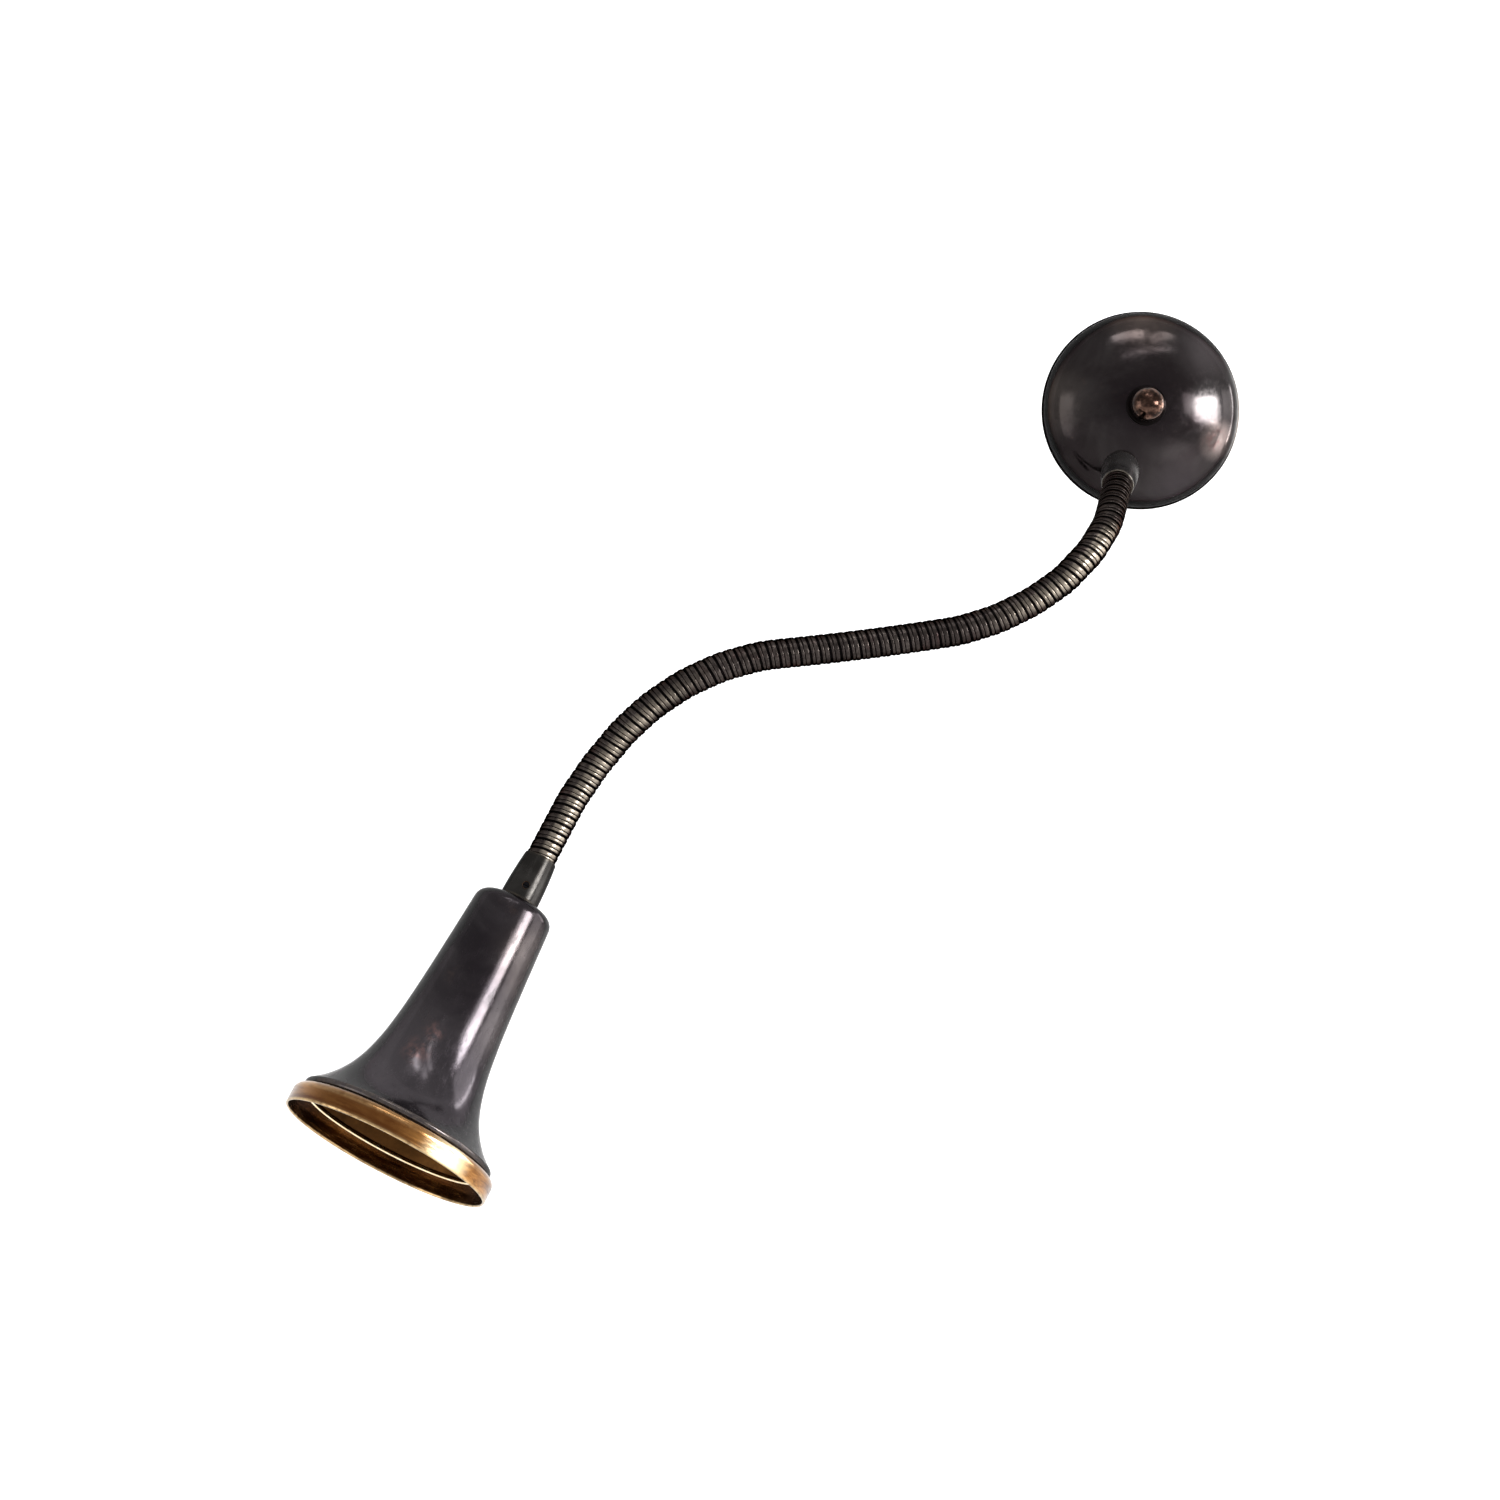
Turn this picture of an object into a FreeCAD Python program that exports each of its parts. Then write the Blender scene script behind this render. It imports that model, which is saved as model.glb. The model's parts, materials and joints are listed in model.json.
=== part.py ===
import FreeCAD, Part

import math
import os

from FreeCAD import Placement, Rotation, Vector

# A wall lamp on a flexible arm, in millimetres. The wall is the plane y = 0, +Z is up, and the lamp
# stands out from the wall towards -Y. The origin is the centre of the canopy, on the wall.

# Canopy: a spun brass dome that covers the bracket
CANOPY_R = 45.0
CANOPY_HEIGHT = 28.0
CANOPY_WALL = 0.9
SKIRT_HEIGHT = 3.0
SHOULDER_R = 18.0
LIP_OVERHANG = 0.8
LIP_THICKNESS = 0.8

# Bracket: a flat steel strap on the wall, with a tab for the terminal block
STRAP_LENGTH = 84.0
STRAP_WIDTH = 16.0
STRAP_THICKNESS = 2.0
TAB_WIDTH = 20.0
TAB_TOP = 37.0
WALL_HOLE_SPACING = 72.0
WALL_HOLE_R = 2.4
COLLAR_R = 3.8
COLLAR_HEIGHT = 2.0

# Stud, lock nut, washer and ball nut, which hold the dome to the bracket
STUD_R = 2.0
STUD_NUT_FLATS = 7.0
STUD_NUT_THICKNESS = 3.2
BALL_WASHER_R = 9.2
BALL_WASHER_THICKNESS = 0.9
BALL_R = 8.0
BALL_NECK_R = 5.6
BALL_NECK_HEIGHT = 1.4
STUD_IN_BALL = 9.0

# Terminal block and its screws
BLOCK_WIDTH = 17.0
BLOCK_HEIGHT = 14.0
BLOCK_DEPTH = 10.0
BLOCK_BOTTOM = 15.0
BLOCK_EDGE_R = 1.0
POLE_SPACING = 9.0
POLE_BORE_R = 1.4
CLAMP_SCREW_R = 1.25
CLAMP_HEAD_R = 1.9
CLAMP_HEAD_HEIGHT = 1.2
EARTH_SCREW_R = 2.0
EARTH_HEAD_R = 3.8
EARTH_HEAD_HEIGHT = 2.2
EARTH_SCREW_OUT = 24.0

# Where the arm leaves the dome
SEAT_OUT = 30.7
SEAT_FROM_BOTTOM = 21.0

# Ferrules, and the M10 x 1 threads that hold them
FERRULE_LENGTH = 22.0
FERRULE_BASE_R = 8.7
FERRULE_WAIST_R = 8.3
FERRULE_TOP_R = 7.3
FERRULE_EDGE = 0.9
ARM_SOCKET_DEPTH = 11.0
CHANNEL_R = 3.6
THREAD_R = 5.0
SPIGOT_LENGTH = 8.0
THREAD_NUT_FLATS = 14.0
THREAD_NUT_THICKNESS = 3.0
NUT_FLANGE_R = 8.0
NUT_FLANGE_THICKNESS = 1.0
NUT_SEAT_DROP = 0.3
SET_SCREW_R = 1.5
SET_SCREW_HEIGHT = 6.5
SET_SCREW_SUNK = 0.35
SLOT_WIDTH = 0.6
SLOT_DEPTH = 0.7

# Gooseneck: a band wound on a core wire, cut into links of a few turns that rock on each other
TUBE_R = 6.75
PITCH = 4.45
GROOVE_WIDTH = 1.7
GROOVE_DEPTH = 1.1
BORE_R = 3.3
NECK_R = 5.3
NECK_REACH = 1.3
NECK_PLAY = 0.35
TURNS_PER_LINK = 2
TURNS_AT_CANOPY = 1
TURNS_AT_SHADE = 7
BEND_LIMIT = 18.0
BEND_PLAY = 0.3

# The arm's shape, from the canopy to the shade: pairs of hinges, then the degrees that the stretch
# turns sideways and the degrees that it turns in or out from the wall
ARM_BENDS = [
    (1, -2, 15),
    (3, 37, 39),
    (3, 25, -7),
    (4, 3, -1),
    (5, -42, 19),
    (2, -15, -14),
]

# Flex: a round sheath with two cores at each end
FLEX_R = 2.4
CORE_R = 0.8
CORE_SPACING = 2.0
CORE_LENGTH = 5.0
FLEX_CLEAR_X = -11.0
FLEX_DEPTH = 7.5

# Shade: a spun brass trumpet. Heights are from the mouth, where the brass ring ends.
SHADE_LENGTH = 124.0
SHADE_WALL = 0.9
NECK_TOP_R = 18.0
SHOULDER_DROP = 6.0
NECK_TOP_HEIGHT = SHADE_LENGTH - SHOULDER_DROP
TAPER = 0.066
FLARE_R = 16.3
FLARE_HEIGHT = 15.2
FLARE_REACH = 14.6
FLARE_END = 13.0
CAP_FLAT_R = 9.4
CAP_EDGE_R = 13.5
CAP_DROP = 0.8
BEAD_R = 44.3
BEAD_INNER_R = 41.0
SEAT_CLEARANCE = 0.05

# Ring: a brass bezel spun over the mouth, with a ledge inside
RING_R = 47.3
RING_HEIGHT = 9.9
RING_BAND = 6.2
RING_WALL = 1.1
RING_BACK_R = 45.0
LEDGE_R = 40.5
LEDGE_HEIGHT = 7.8
LEDGE_BEAD_R = 0.7
LIP_ROUND = 0.45

# Lampholder for an E14 lamp cap. Distances are from the outside of the shade's cap, down the axis.
NIPPLE_BORE_R = 3.2
NIPPLE_IN_FERRULE = 9.0
NIPPLE_IN_SHADE = 9.0
HOLDER_R = 12.5
HOLDER_WALL = 0.8
HOLDER_BOSS_R = 7.5
HOLDER_BOSS_LENGTH = 6.0
HOLDER_CUP_LENGTH = 10.0
INSULATOR_THICKNESS = 5.0
SOCKET_THREAD_R = 7.0
SHELL_WALL = 0.5
SHELL_LENGTH = 21.0
SHELL_RELIEF_LENGTH = 3.4
SHELL_RELIEF_DEPTH = 0.2
SLEEVE_OVERHANG = 3.0
SLEEVE_MOUTH_R = 9.0
TERMINAL_OFFSET = 7.0
CONTACT_R = 2.2
CONTACT_HEIGHT = 2.0

FIT = 0.05          # radial play of a rod in its hole

X, Y, Z = Vector(1, 0, 0), Vector(0, 1, 0), Vector(0, 0, 1)
TILT_AXIS, SWING_AXIS = Z, Y


class Outline:
    """The half outline of a turned piece: x runs along its axis, and r is the radius."""

    def __init__(self, x, r):
        self.start = self.end = Vector(x, r, 0)
        self.edges = []

    def line(self, *points):
        for x, r in points:
            self.edges.append(Part.LineSegment(self.end, Vector(x, r, 0)).toShape())
            self.end = Vector(x, r, 0)
        return self

    def arc(self, via, to):
        end = Vector(*to, 0)
        self.edges.append(Part.Arc(self.end, Vector(*via, 0), end).toShape())
        self.end = end
        return self

    def curve(self, points):
        spline = Part.BSplineCurve()
        spline.interpolate([self.end] + [Vector(x, r, 0) for x, r in points])
        self.edges.append(spline.toShape())
        self.end = spline.EndPoint
        return self

    def solid(self):
        """The closed outline, turned round the X axis."""
        self.line((self.start.x, self.start.y))
        face = Part.Face(Part.Wire(self.edges))
        turned = face.revolve(Vector(), X, 360)
        return turned if turned.Volume > 0 else turned.reversed()


def along(frame, distance):
    """The frame, moved along its own X axis."""
    return frame * Placement(Vector(distance, 0, 0), Rotation())


def turn(frame, axis, degrees):
    """The frame, turned about one of its own axes."""
    return frame * Placement(Vector(), Rotation(axis, degrees))


def put(shape, frame):
    """The shape, carried from the origin to a frame."""
    return shape.transformed(frame.toMatrix())


def rod(radius, start, end):
    """A round rod along X."""
    return Part.makeCylinder(radius, end - start, Vector(start, 0, 0), X)


def tube(outer, inner, start, end):
    return rod(outer, start, end).cut(rod(inner, start - 1, end + 1))


def hexagon(flats, start, end):
    """A hexagonal prism along X, measured across its flats."""
    corner = flats / math.sqrt(3)
    turns = [math.radians(60 * i) for i in range(7)]
    ring = [Vector(start, corner * math.cos(a), corner * math.sin(a)) for a in turns]
    return Part.Face(Part.makePolygon(ring)).extrude(Vector(end - start, 0, 0))


def hex_nut(flats, bore, start, end):
    """A hexagonal nut along X, with its corners chamfered at both ends."""
    corner, low = flats / math.sqrt(3), flats / 2 - 0.1
    bevel = (corner - low) * 0.6
    limit = Outline(start, 0).line((start, low), (start + bevel, corner))
    limit.line((end - bevel, corner), (end, low), (end, 0))
    return hexagon(flats, start, end).common(limit.solid()).cut(rod(bore, start - 1, end + 1))


# Frames: each has X along the axis of what it carries

CANOPY = Placement(Vector(), Rotation(-Y, Z, -X, "XYZ"))


def crown_radius():
    """The radius of the dome's crown, which runs tangent into the rounded shoulder."""
    out, rise = CANOPY_R - SHOULDER_R, CANOPY_HEIGHT - SKIRT_HEIGHT
    return (out ** 2 + rise ** 2 - SHOULDER_R ** 2) / (2 * (rise - SHOULDER_R))


def seat_frame():
    """Where the arm leaves the dome: X is the dome's normal, and Y runs down its slope."""
    crown = crown_radius()
    frame = turn(CANOPY, X, 180 - SEAT_FROM_BOTTOM)
    frame = along(frame, CANOPY_HEIGHT - crown)
    frame = turn(frame, TILT_AXIS, math.degrees(math.asin(SEAT_OUT / crown)))
    return along(frame, crown)


def link_length():
    return TURNS_PER_LINK * PITCH


def hinges():
    """The arm's hinges in order, each as (frame before it turns, frame after, axis name, rest angle).

    Hinges come in pairs: the first of a pair tilts in or out from the wall, and the second swings
    sideways. A hinge's rest angle is the bend that it has in the arm's resting shape.
    """
    found = []
    frame = along(seat_frame(), FERRULE_LENGTH + TURNS_AT_CANOPY * PITCH)
    for pairs, sideways, inwards in ARM_BENDS:
        for _ in range(pairs):
            turns = [("tilt", TILT_AXIS, inwards / pairs), ("swing", SWING_AXIS, sideways / pairs)]
            for name, axis, angle in turns:
                bent = turn(frame, axis, angle)
                found.append((frame, bent, name, angle))
                frame = along(bent, link_length())
    return found


def shade_frame():
    """The outside of the shade's cap, with X running down to the mouth."""
    last = hinges()[-1][1]
    return along(last, TURNS_AT_SHADE * PITCH + FERRULE_LENGTH)


def facing_out(frame):
    """The angle about a frame's X axis at which its Y axis points most nearly away from the wall."""
    local = frame.Rotation.inverted().multVec(-Y)
    return math.degrees(math.atan2(local.z, local.y))


# Canopy

def canopy_arc(inset):
    """The dome's section: shoulder and crown, as (start, via, junction, via, apex) at an inset."""
    crown, shoulder = crown_radius() - inset, SHOULDER_R - inset
    centre = CANOPY_HEIGHT - crown_radius()
    join = math.asin((CANOPY_R - SHOULDER_R) / (crown_radius() - SHOULDER_R))
    hole = math.asin((STUD_R + 2 * FIT) / crown)

    def on_crown(angle):
        return centre + crown * math.cos(angle), crown * math.sin(angle)

    def on_shoulder(angle):
        return SKIRT_HEIGHT + shoulder * math.cos(angle), CANOPY_R - SHOULDER_R + shoulder * math.sin(angle)

    return [on_shoulder(math.pi / 2), on_shoulder((join + math.pi / 2) / 2), on_shoulder(join),
            on_crown((join + hole) / 2), on_crown(hole)]


def canopy_dome():
    outer, inner = canopy_arc(0), canopy_arc(CANOPY_WALL)
    section = Outline(0, CANOPY_R - CANOPY_WALL)
    lip = CANOPY_R + LIP_OVERHANG
    section.line((0, lip), (LIP_THICKNESS, lip), (LIP_THICKNESS, CANOPY_R))
    section.line(outer[0]).arc(outer[1], outer[2]).arc(outer[3], outer[4])
    section.line(inner[4]).arc(inner[3], inner[2]).arc(inner[1], inner[0])
    hole = put(rod(THREAD_R + FIT, -3, 3), seat_frame())
    return put(section.solid(), CANOPY).cut(hole)


def on_crown(radius):
    """How far a point on the crown, at a radius from a normal to it, lies behind the normal's foot."""
    crown = crown_radius()
    return math.sqrt(crown ** 2 - radius ** 2) - crown


def strap_end(side):
    """A rounded end of the strap, in the wall's plane."""
    centre = Vector(side * (STRAP_LENGTH - STRAP_WIDTH) / 2, 0, 0)
    return Part.makeCylinder(STRAP_WIDTH / 2, STRAP_THICKNESS, centre, -Y)


def wall_bracket():
    flat = STRAP_LENGTH - STRAP_WIDTH
    low = Vector(-flat / 2, -STRAP_THICKNESS, -STRAP_WIDTH / 2)
    strap = Part.makeBox(flat, STRAP_THICKNESS, STRAP_WIDTH, low)
    foot = Vector(-TAB_WIDTH / 2, -STRAP_THICKNESS, 0)
    tab = Part.makeBox(TAB_WIDTH, STRAP_THICKNESS, TAB_TOP, foot)
    corners = [e for e in tab.Edges if abs(e.tangentAt(e.FirstParameter).y) > 0.9 and e.CenterOfMass.z > 1]
    tab = tab.makeFillet(TAB_WIDTH / 8, corners)
    collar = put(rod(COLLAR_R, 0, STRAP_THICKNESS + COLLAR_HEIGHT), CANOPY)
    plate = strap.fuse([strap_end(-1), strap_end(1), tab, collar]).removeSplitter()
    deep = STRAP_THICKNESS + COLLAR_HEIGHT + 1
    holes = [(0, 0, STUD_R + FIT), (0, block_centre(), CLAMP_SCREW_R + FIT)]
    holes.append((-EARTH_SCREW_OUT, 0, EARTH_SCREW_R + FIT))
    holes += [(side * WALL_HOLE_SPACING / 2, 0, WALL_HOLE_R) for side in (-1, 1)]
    return plate.cut([Part.makeCylinder(r, deep + 1, Vector(x, 1, z), -Y) for x, z, r in holes])


def block_centre():
    """The height of the terminal block's middle above the canopy's axis."""
    return BLOCK_BOTTOM + BLOCK_HEIGHT / 2


def stud_end():
    return CANOPY_HEIGHT + BALL_WASHER_THICKNESS + STUD_IN_BALL


def canopy_stud():
    end = stud_end()
    section = Outline(0.3, 0).line((0.3, STUD_R), (end - 0.5, STUD_R), (end, STUD_R - 0.5), (end, 0))
    return put(section.solid(), CANOPY)


def stud_lock_nut():
    seat = STRAP_THICKNESS + COLLAR_HEIGHT
    return put(hex_nut(STUD_NUT_FLATS, STUD_R + FIT, seat, seat + STUD_NUT_THICKNESS), CANOPY)


def ball_nut_washer():
    """A dished washer whose underside follows the crown."""
    bore, rim = STUD_R + 2 * FIT, BALL_WASHER_R
    top = BALL_WASHER_THICKNESS
    section = Outline(on_crown(bore) + SEAT_CLEARANCE, bore)
    section.arc((on_crown(rim / 2) + SEAT_CLEARANCE, rim / 2), (on_crown(rim) + SEAT_CLEARANCE, rim))
    section.line((top - 0.5, rim), (top, rim - 0.5), (top, bore))
    return put(section.solid(), along(CANOPY, CANOPY_HEIGHT))


def ball_nut():
    """A round brass nut on a short neck, with a blind bore for the stud."""
    bore, depth = STUD_R + FIT, STUD_IN_BALL + 1
    rise = math.sqrt(BALL_R ** 2 - BALL_NECK_R ** 2)
    centre = BALL_NECK_HEIGHT + rise
    section = Outline(0, bore)
    section.line((0, BALL_NECK_R), (BALL_NECK_HEIGHT, BALL_NECK_R))
    section.arc((centre, BALL_R), (centre + BALL_R, 0))
    section.line((depth, 0), (depth, bore))
    return put(section.solid(), along(CANOPY, CANOPY_HEIGHT + BALL_WASHER_THICKNESS))


def block_box():
    corner = Vector(-BLOCK_WIDTH / 2, -STRAP_THICKNESS - BLOCK_DEPTH, BLOCK_BOTTOM)
    return Part.makeBox(BLOCK_WIDTH, BLOCK_DEPTH, BLOCK_HEIGHT, corner)


def pole_depth():
    """How far the terminal block's wire bores lie from the wall."""
    return STRAP_THICKNESS + BLOCK_DEPTH * 0.45


def terminal_block():
    """A two-pole block: wire bores up through it, clamp screws from the front, one fixing screw."""
    box = block_box()
    front = [e for e in box.Edges if e.CenterOfMass.y < -STRAP_THICKNESS - BLOCK_DEPTH + 0.01]
    box = box.makeFillet(BLOCK_EDGE_R, front)
    top = BLOCK_BOTTOM + BLOCK_HEIGHT
    cuts = [Part.makeCylinder(CLAMP_SCREW_R + FIT, BLOCK_DEPTH + 2, Vector(0, 0, block_centre()), -Y)]
    for side in (-1, 1):
        x = side * POLE_SPACING / 2
        foot = Vector(x, -pole_depth(), BLOCK_BOTTOM - 1)
        cuts.append(Part.makeCylinder(POLE_BORE_R, BLOCK_HEIGHT + 2, foot, Z))
        for level in pole_levels():
            start = Vector(x, -pole_depth(), level)
            cuts.append(Part.makeCylinder(CLAMP_SCREW_R + FIT, top, start, -Y))
    return box.cut(cuts)


def pole_levels():
    """The heights of the two clamp screws in each pole."""
    return [BLOCK_BOTTOM + BLOCK_HEIGHT * share for share in (0.25, 0.75)]


def slotted_screw(radius, head_r, head, start, end):
    """A pan-head screw along X with its tip at start and the top of its head at end."""
    under = end - head
    body = Outline(start, 0).line((start, radius), (under, radius), (under, head_r), (end - 0.5, head_r))
    body = body.line((end, head_r - 0.5), (end, 0)).solid()
    return body.cut(slot(end, head_r + 1))


def slot(end, reach):
    """The cutter for a screwdriver slot in the end face of a screw along X."""
    corner = Vector(end - SLOT_DEPTH, -SLOT_WIDTH / 2, -reach)
    return Part.makeBox(SLOT_DEPTH + 1, SLOT_WIDTH, 2 * reach, corner)


def at_wall(x, z):
    """The canopy's frame, moved to a place on the wall."""
    return Placement(Vector(x, 0, z), CANOPY.Rotation)


def bracket_screws():
    """The block's four clamp screws, the screw that holds it to the tab, and the earth screw."""
    face = STRAP_THICKNESS + BLOCK_DEPTH
    tip, top = pole_depth() + CORE_R + FIT, face + CLAMP_HEAD_HEIGHT
    clamp = slotted_screw(CLAMP_SCREW_R, CLAMP_HEAD_R, CLAMP_HEAD_HEIGHT, tip, top)
    fixing = slotted_screw(CLAMP_SCREW_R, CLAMP_HEAD_R, CLAMP_HEAD_HEIGHT, 0.2, top)
    earth_top = STRAP_THICKNESS + EARTH_HEAD_HEIGHT
    earth = slotted_screw(EARTH_SCREW_R, EARTH_HEAD_R, EARTH_HEAD_HEIGHT, 0.2, earth_top)
    places = [(side * POLE_SPACING / 2, level) for side in (-1, 1) for level in pole_levels()]
    screws = [put(clamp, at_wall(x, z)) for x, z in places]
    screws.append(put(fixing, at_wall(0, block_centre())))
    screws.append(put(earth, at_wall(-EARTH_SCREW_OUT, 0)))
    return Part.makeCompound(screws)


# Ferrules

def ferrule_side(section):
    """Carries a ferrule's outline up its tapered side, over its end and down into the arm's socket."""
    top = FERRULE_LENGTH
    section.curve([(top / 2, FERRULE_WAIST_R), (top - FERRULE_EDGE, FERRULE_TOP_R)])
    section.line((top, FERRULE_TOP_R - 0.3), (top, TUBE_R + FIT))
    return section.line((top - ARM_SOCKET_DEPTH, TUBE_R + FIT), (top - ARM_SOCKET_DEPTH, CHANNEL_R))


def canopy_ferrule():
    """The ferrule on the dome: its threaded spigot goes through the dome to a nut inside."""
    base = FERRULE_BASE_R - 0.2
    rim = on_crown(base) + SEAT_CLEARANCE
    section = Outline(-SPIGOT_LENGTH, CHANNEL_R)
    section.line((-SPIGOT_LENGTH, THREAD_R - 0.5), (-SPIGOT_LENGTH + 0.5, THREAD_R))
    section.line((on_crown(THREAD_R) + SEAT_CLEARANCE, THREAD_R))
    middle = (THREAD_R + base) / 2
    section.arc((on_crown(middle) + SEAT_CLEARANCE, middle), (rim, base))
    section.line((rim + 0.4, FERRULE_BASE_R))
    return put(ferrule_side(section).solid(), seat_frame())


def ferrule_lock_nut():
    """A flanged nut on the spigot, drawn up against the inside of the dome."""
    crown = crown_radius() - CANOPY_WALL
    top = math.sqrt(crown ** 2 - NUT_FLANGE_R ** 2) - crown_radius() - NUT_SEAT_DROP
    under = top - NUT_FLANGE_THICKNESS
    flange = tube(NUT_FLANGE_R, THREAD_R + FIT, under, top)
    nut = hex_nut(THREAD_NUT_FLATS, THREAD_R + FIT, under - THREAD_NUT_THICKNESS, under)
    return put(flange.fuse(nut).removeSplitter(), seat_frame())


def ferrule_frame():
    """The shade's ferrule: its base is on the cap, and X runs back up the arm."""
    return turn(shade_frame(), Z, 180)


def set_screw_frame():
    """The set screw's axis, with X pointing out of the ferrule, away from the wall."""
    frame = along(ferrule_frame(), SET_SCREW_HEIGHT)
    return turn(turn(frame, X, facing_out(frame)), Z, 90)


def shade_ferrule():
    section = Outline(0, THREAD_R + FIT)
    section.line((0, FERRULE_BASE_R - 0.2), (0.4, FERRULE_BASE_R))
    ferrule_side(section)
    seat = NIPPLE_IN_FERRULE + 2 * FIT
    section.line((seat, CHANNEL_R), (seat, THREAD_R + FIT))
    hole = put(rod(SET_SCREW_R + FIT, CHANNEL_R, FERRULE_BASE_R + 1), set_screw_frame())
    return put(section.solid(), ferrule_frame()).cut(hole)


def ferrule_set_screw():
    end = FERRULE_WAIST_R - SET_SCREW_SUNK
    screw = rod(SET_SCREW_R, THREAD_R + FIT, end)
    return put(screw.cut(slot(end, 2 * SET_SCREW_R)), set_screw_frame())


# Gooseneck

def wedge(radius):
    """How far a link's end face leans back from the hinge at a radius, so that two links can rock."""
    return radius * math.tan(math.radians(BEND_LIMIT / 2 + BEND_PLAY))


def cavity_depth():
    """The depth of the hollow cone that a link's neck rocks in.

    The cone starts at the lip and passes clear of the neck's corner at the furthest bend.
    """
    bend = math.radians(BEND_LIMIT)
    lip_r, lip_x = NECK_R + NECK_PLAY, wedge(NECK_R + NECK_PLAY)
    corner_x = NECK_REACH * math.cos(bend) + NECK_R * math.sin(bend)
    corner_r = NECK_R * math.cos(bend) - NECK_REACH * math.sin(bend) + NECK_PLAY * 0.7
    slope = (lip_r - corner_r) / (corner_x - lip_x)
    return lip_x + (lip_r - BORE_R) / slope


def gooseneck(turns, socket=True, neck=True):
    """A stretch of gooseneck along X, of whole turns with a groove between each two.

    It starts in a hollow socket, or in a plain end that goes into a ferrule, and it ends in a neck
    that rocks in the next link's socket, or in a plain end.
    """
    length, inserted = turns * PITCH, ARM_SOCKET_DEPTH - FIT
    if socket:
        section = Outline(cavity_depth(), BORE_R)
        section.line((wedge(NECK_R + NECK_PLAY), NECK_R + NECK_PLAY), (wedge(TUBE_R), TUBE_R))
    else:
        section = Outline(-inserted, BORE_R).line((-inserted, TUBE_R))
    grooves = [PITCH * i for i in range(turns + 1)]
    grooves = grooves[1 if socket else 0:-1 if neck else None]
    for x in grooves:
        half = GROOVE_WIDTH / 2
        section.line((x - half, TUBE_R), (x, TUBE_R - GROOVE_DEPTH), (x + half, TUBE_R))
    if neck:
        section.line((length - wedge(TUBE_R), TUBE_R), (length - wedge(NECK_R), NECK_R))
        section.line((length + NECK_REACH, NECK_R), (length + NECK_REACH, BORE_R))
    else:
        section.line((length + inserted, TUBE_R), (length + inserted, BORE_R))
    return section.solid()


def gooseneck_pieces():
    """Every stretch of the gooseneck by name: the fixed ends and the links between the hinges."""
    frames = [bent for _, bent, _, _ in hinges()]
    link = gooseneck(TURNS_PER_LINK)
    first = gooseneck(TURNS_AT_CANOPY, socket=False)
    found = {"gooseneck_canopy_end": put(first, along(seat_frame(), FERRULE_LENGTH))}
    for number, frame in enumerate(frames[:-1], 1):
        found[f"gooseneck_link_{number:02d}"] = put(link, frame)
    found["gooseneck_shade_end"] = put(gooseneck(TURNS_AT_SHADE, neck=False), frames[-1])
    return found


# Flex

def rounded_path(points):
    """Straight runs through the points, joined by tangent arcs as large as the runs allow."""
    edges, start = [], points[0]
    for before, corner, after in zip(points, points[1:], points[2:]):
        back, ahead = (before - corner), (after - corner)
        reach = 0.45 * min(back.Length, ahead.Length)
        back.normalize()
        ahead.normalize()
        half_turn = (math.pi - back.getAngle(ahead)) / 2
        first, last = corner + back * reach, corner + ahead * reach
        middle = (back + ahead).normalize()
        radius = reach / math.tan(half_turn)
        via = corner + middle * (radius / math.cos(half_turn) - radius)
        edges.append(Part.LineSegment(start, first).toShape())
        edges.append(Part.Arc(first, via, last).toShape())
        start = last
    edges.append(Part.LineSegment(start, points[-1]).toShape())
    return Part.Wire(edges)


def flex_points():
    """The flex's route: from under the terminal block, round the stud, and down the arm."""
    start = Vector(-2, -FLEX_DEPTH, BLOCK_BOTTOM - CORE_LENGTH)
    past_stud = Vector(FLEX_CLEAR_X, -FLEX_DEPTH - 0.3, -8.5)
    canopy = [start, Vector(-6.5, -FLEX_DEPTH, 3), past_stud, Vector(FLEX_CLEAR_X + 1, -FLEX_DEPTH - 1, -17)]
    arm = [frame.Base for frame, _, _, _ in hinges()]
    end = along(shade_frame(), NIPPLE_IN_SHADE + HOLDER_WALL).Base
    return canopy + [along(seat_frame(), -SPIGOT_LENGTH - 4).Base] + arm + [end]


def flex():
    """The sheath in one length, with two bare-ended cores at each end."""
    points = flex_points()
    path = rounded_path(points)
    way = points[1] - points[0]
    section = Part.Wire(Part.Circle(points[0], way, FLEX_R).toShape())
    sheath = path.makePipeShell([section], True, False)
    cores = []
    for side in (-1, 1):
        foot = points[0] + Vector(side * CORE_SPACING / 2, 0, -1)
        mouth = Vector(side * POLE_SPACING / 2, -pole_depth(), BLOCK_BOTTOM - 0.5)
        inside = Vector(side * POLE_SPACING / 2, -pole_depth(), BLOCK_BOTTOM + BLOCK_HEIGHT / 2)
        cores.append(core([foot, mouth, inside]))
        back = shade_frame()
        start = back.multVec(Vector(NIPPLE_IN_SHADE, 0, side * CORE_SPACING / 2))
        turn_at = back.multVec(Vector(insulator_start() - 4.5, 0, side * TERMINAL_OFFSET * 0.75))
        screw = back.multVec(Vector(insulator_start() - 2.6, 0, side * (TERMINAL_OFFSET - 1.8)))
        cores.append(core([start, turn_at, screw]))
    return sheath.fuse(cores)


def core(points):
    way = points[1] - points[0]
    section = Part.Wire(Part.Circle(points[0], way, CORE_R).toShape())
    return rounded_path(points).makePipeShell([section], True, False)


# Shade

def flare(height):
    """The shade's outer radius at a height from the mouth: a straight taper and a growing flare."""
    taper = NECK_TOP_R + TAPER * (NECK_TOP_HEIGHT - height)
    return taper + FLARE_R * math.exp((FLARE_HEIGHT - height) / FLARE_REACH)


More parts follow.
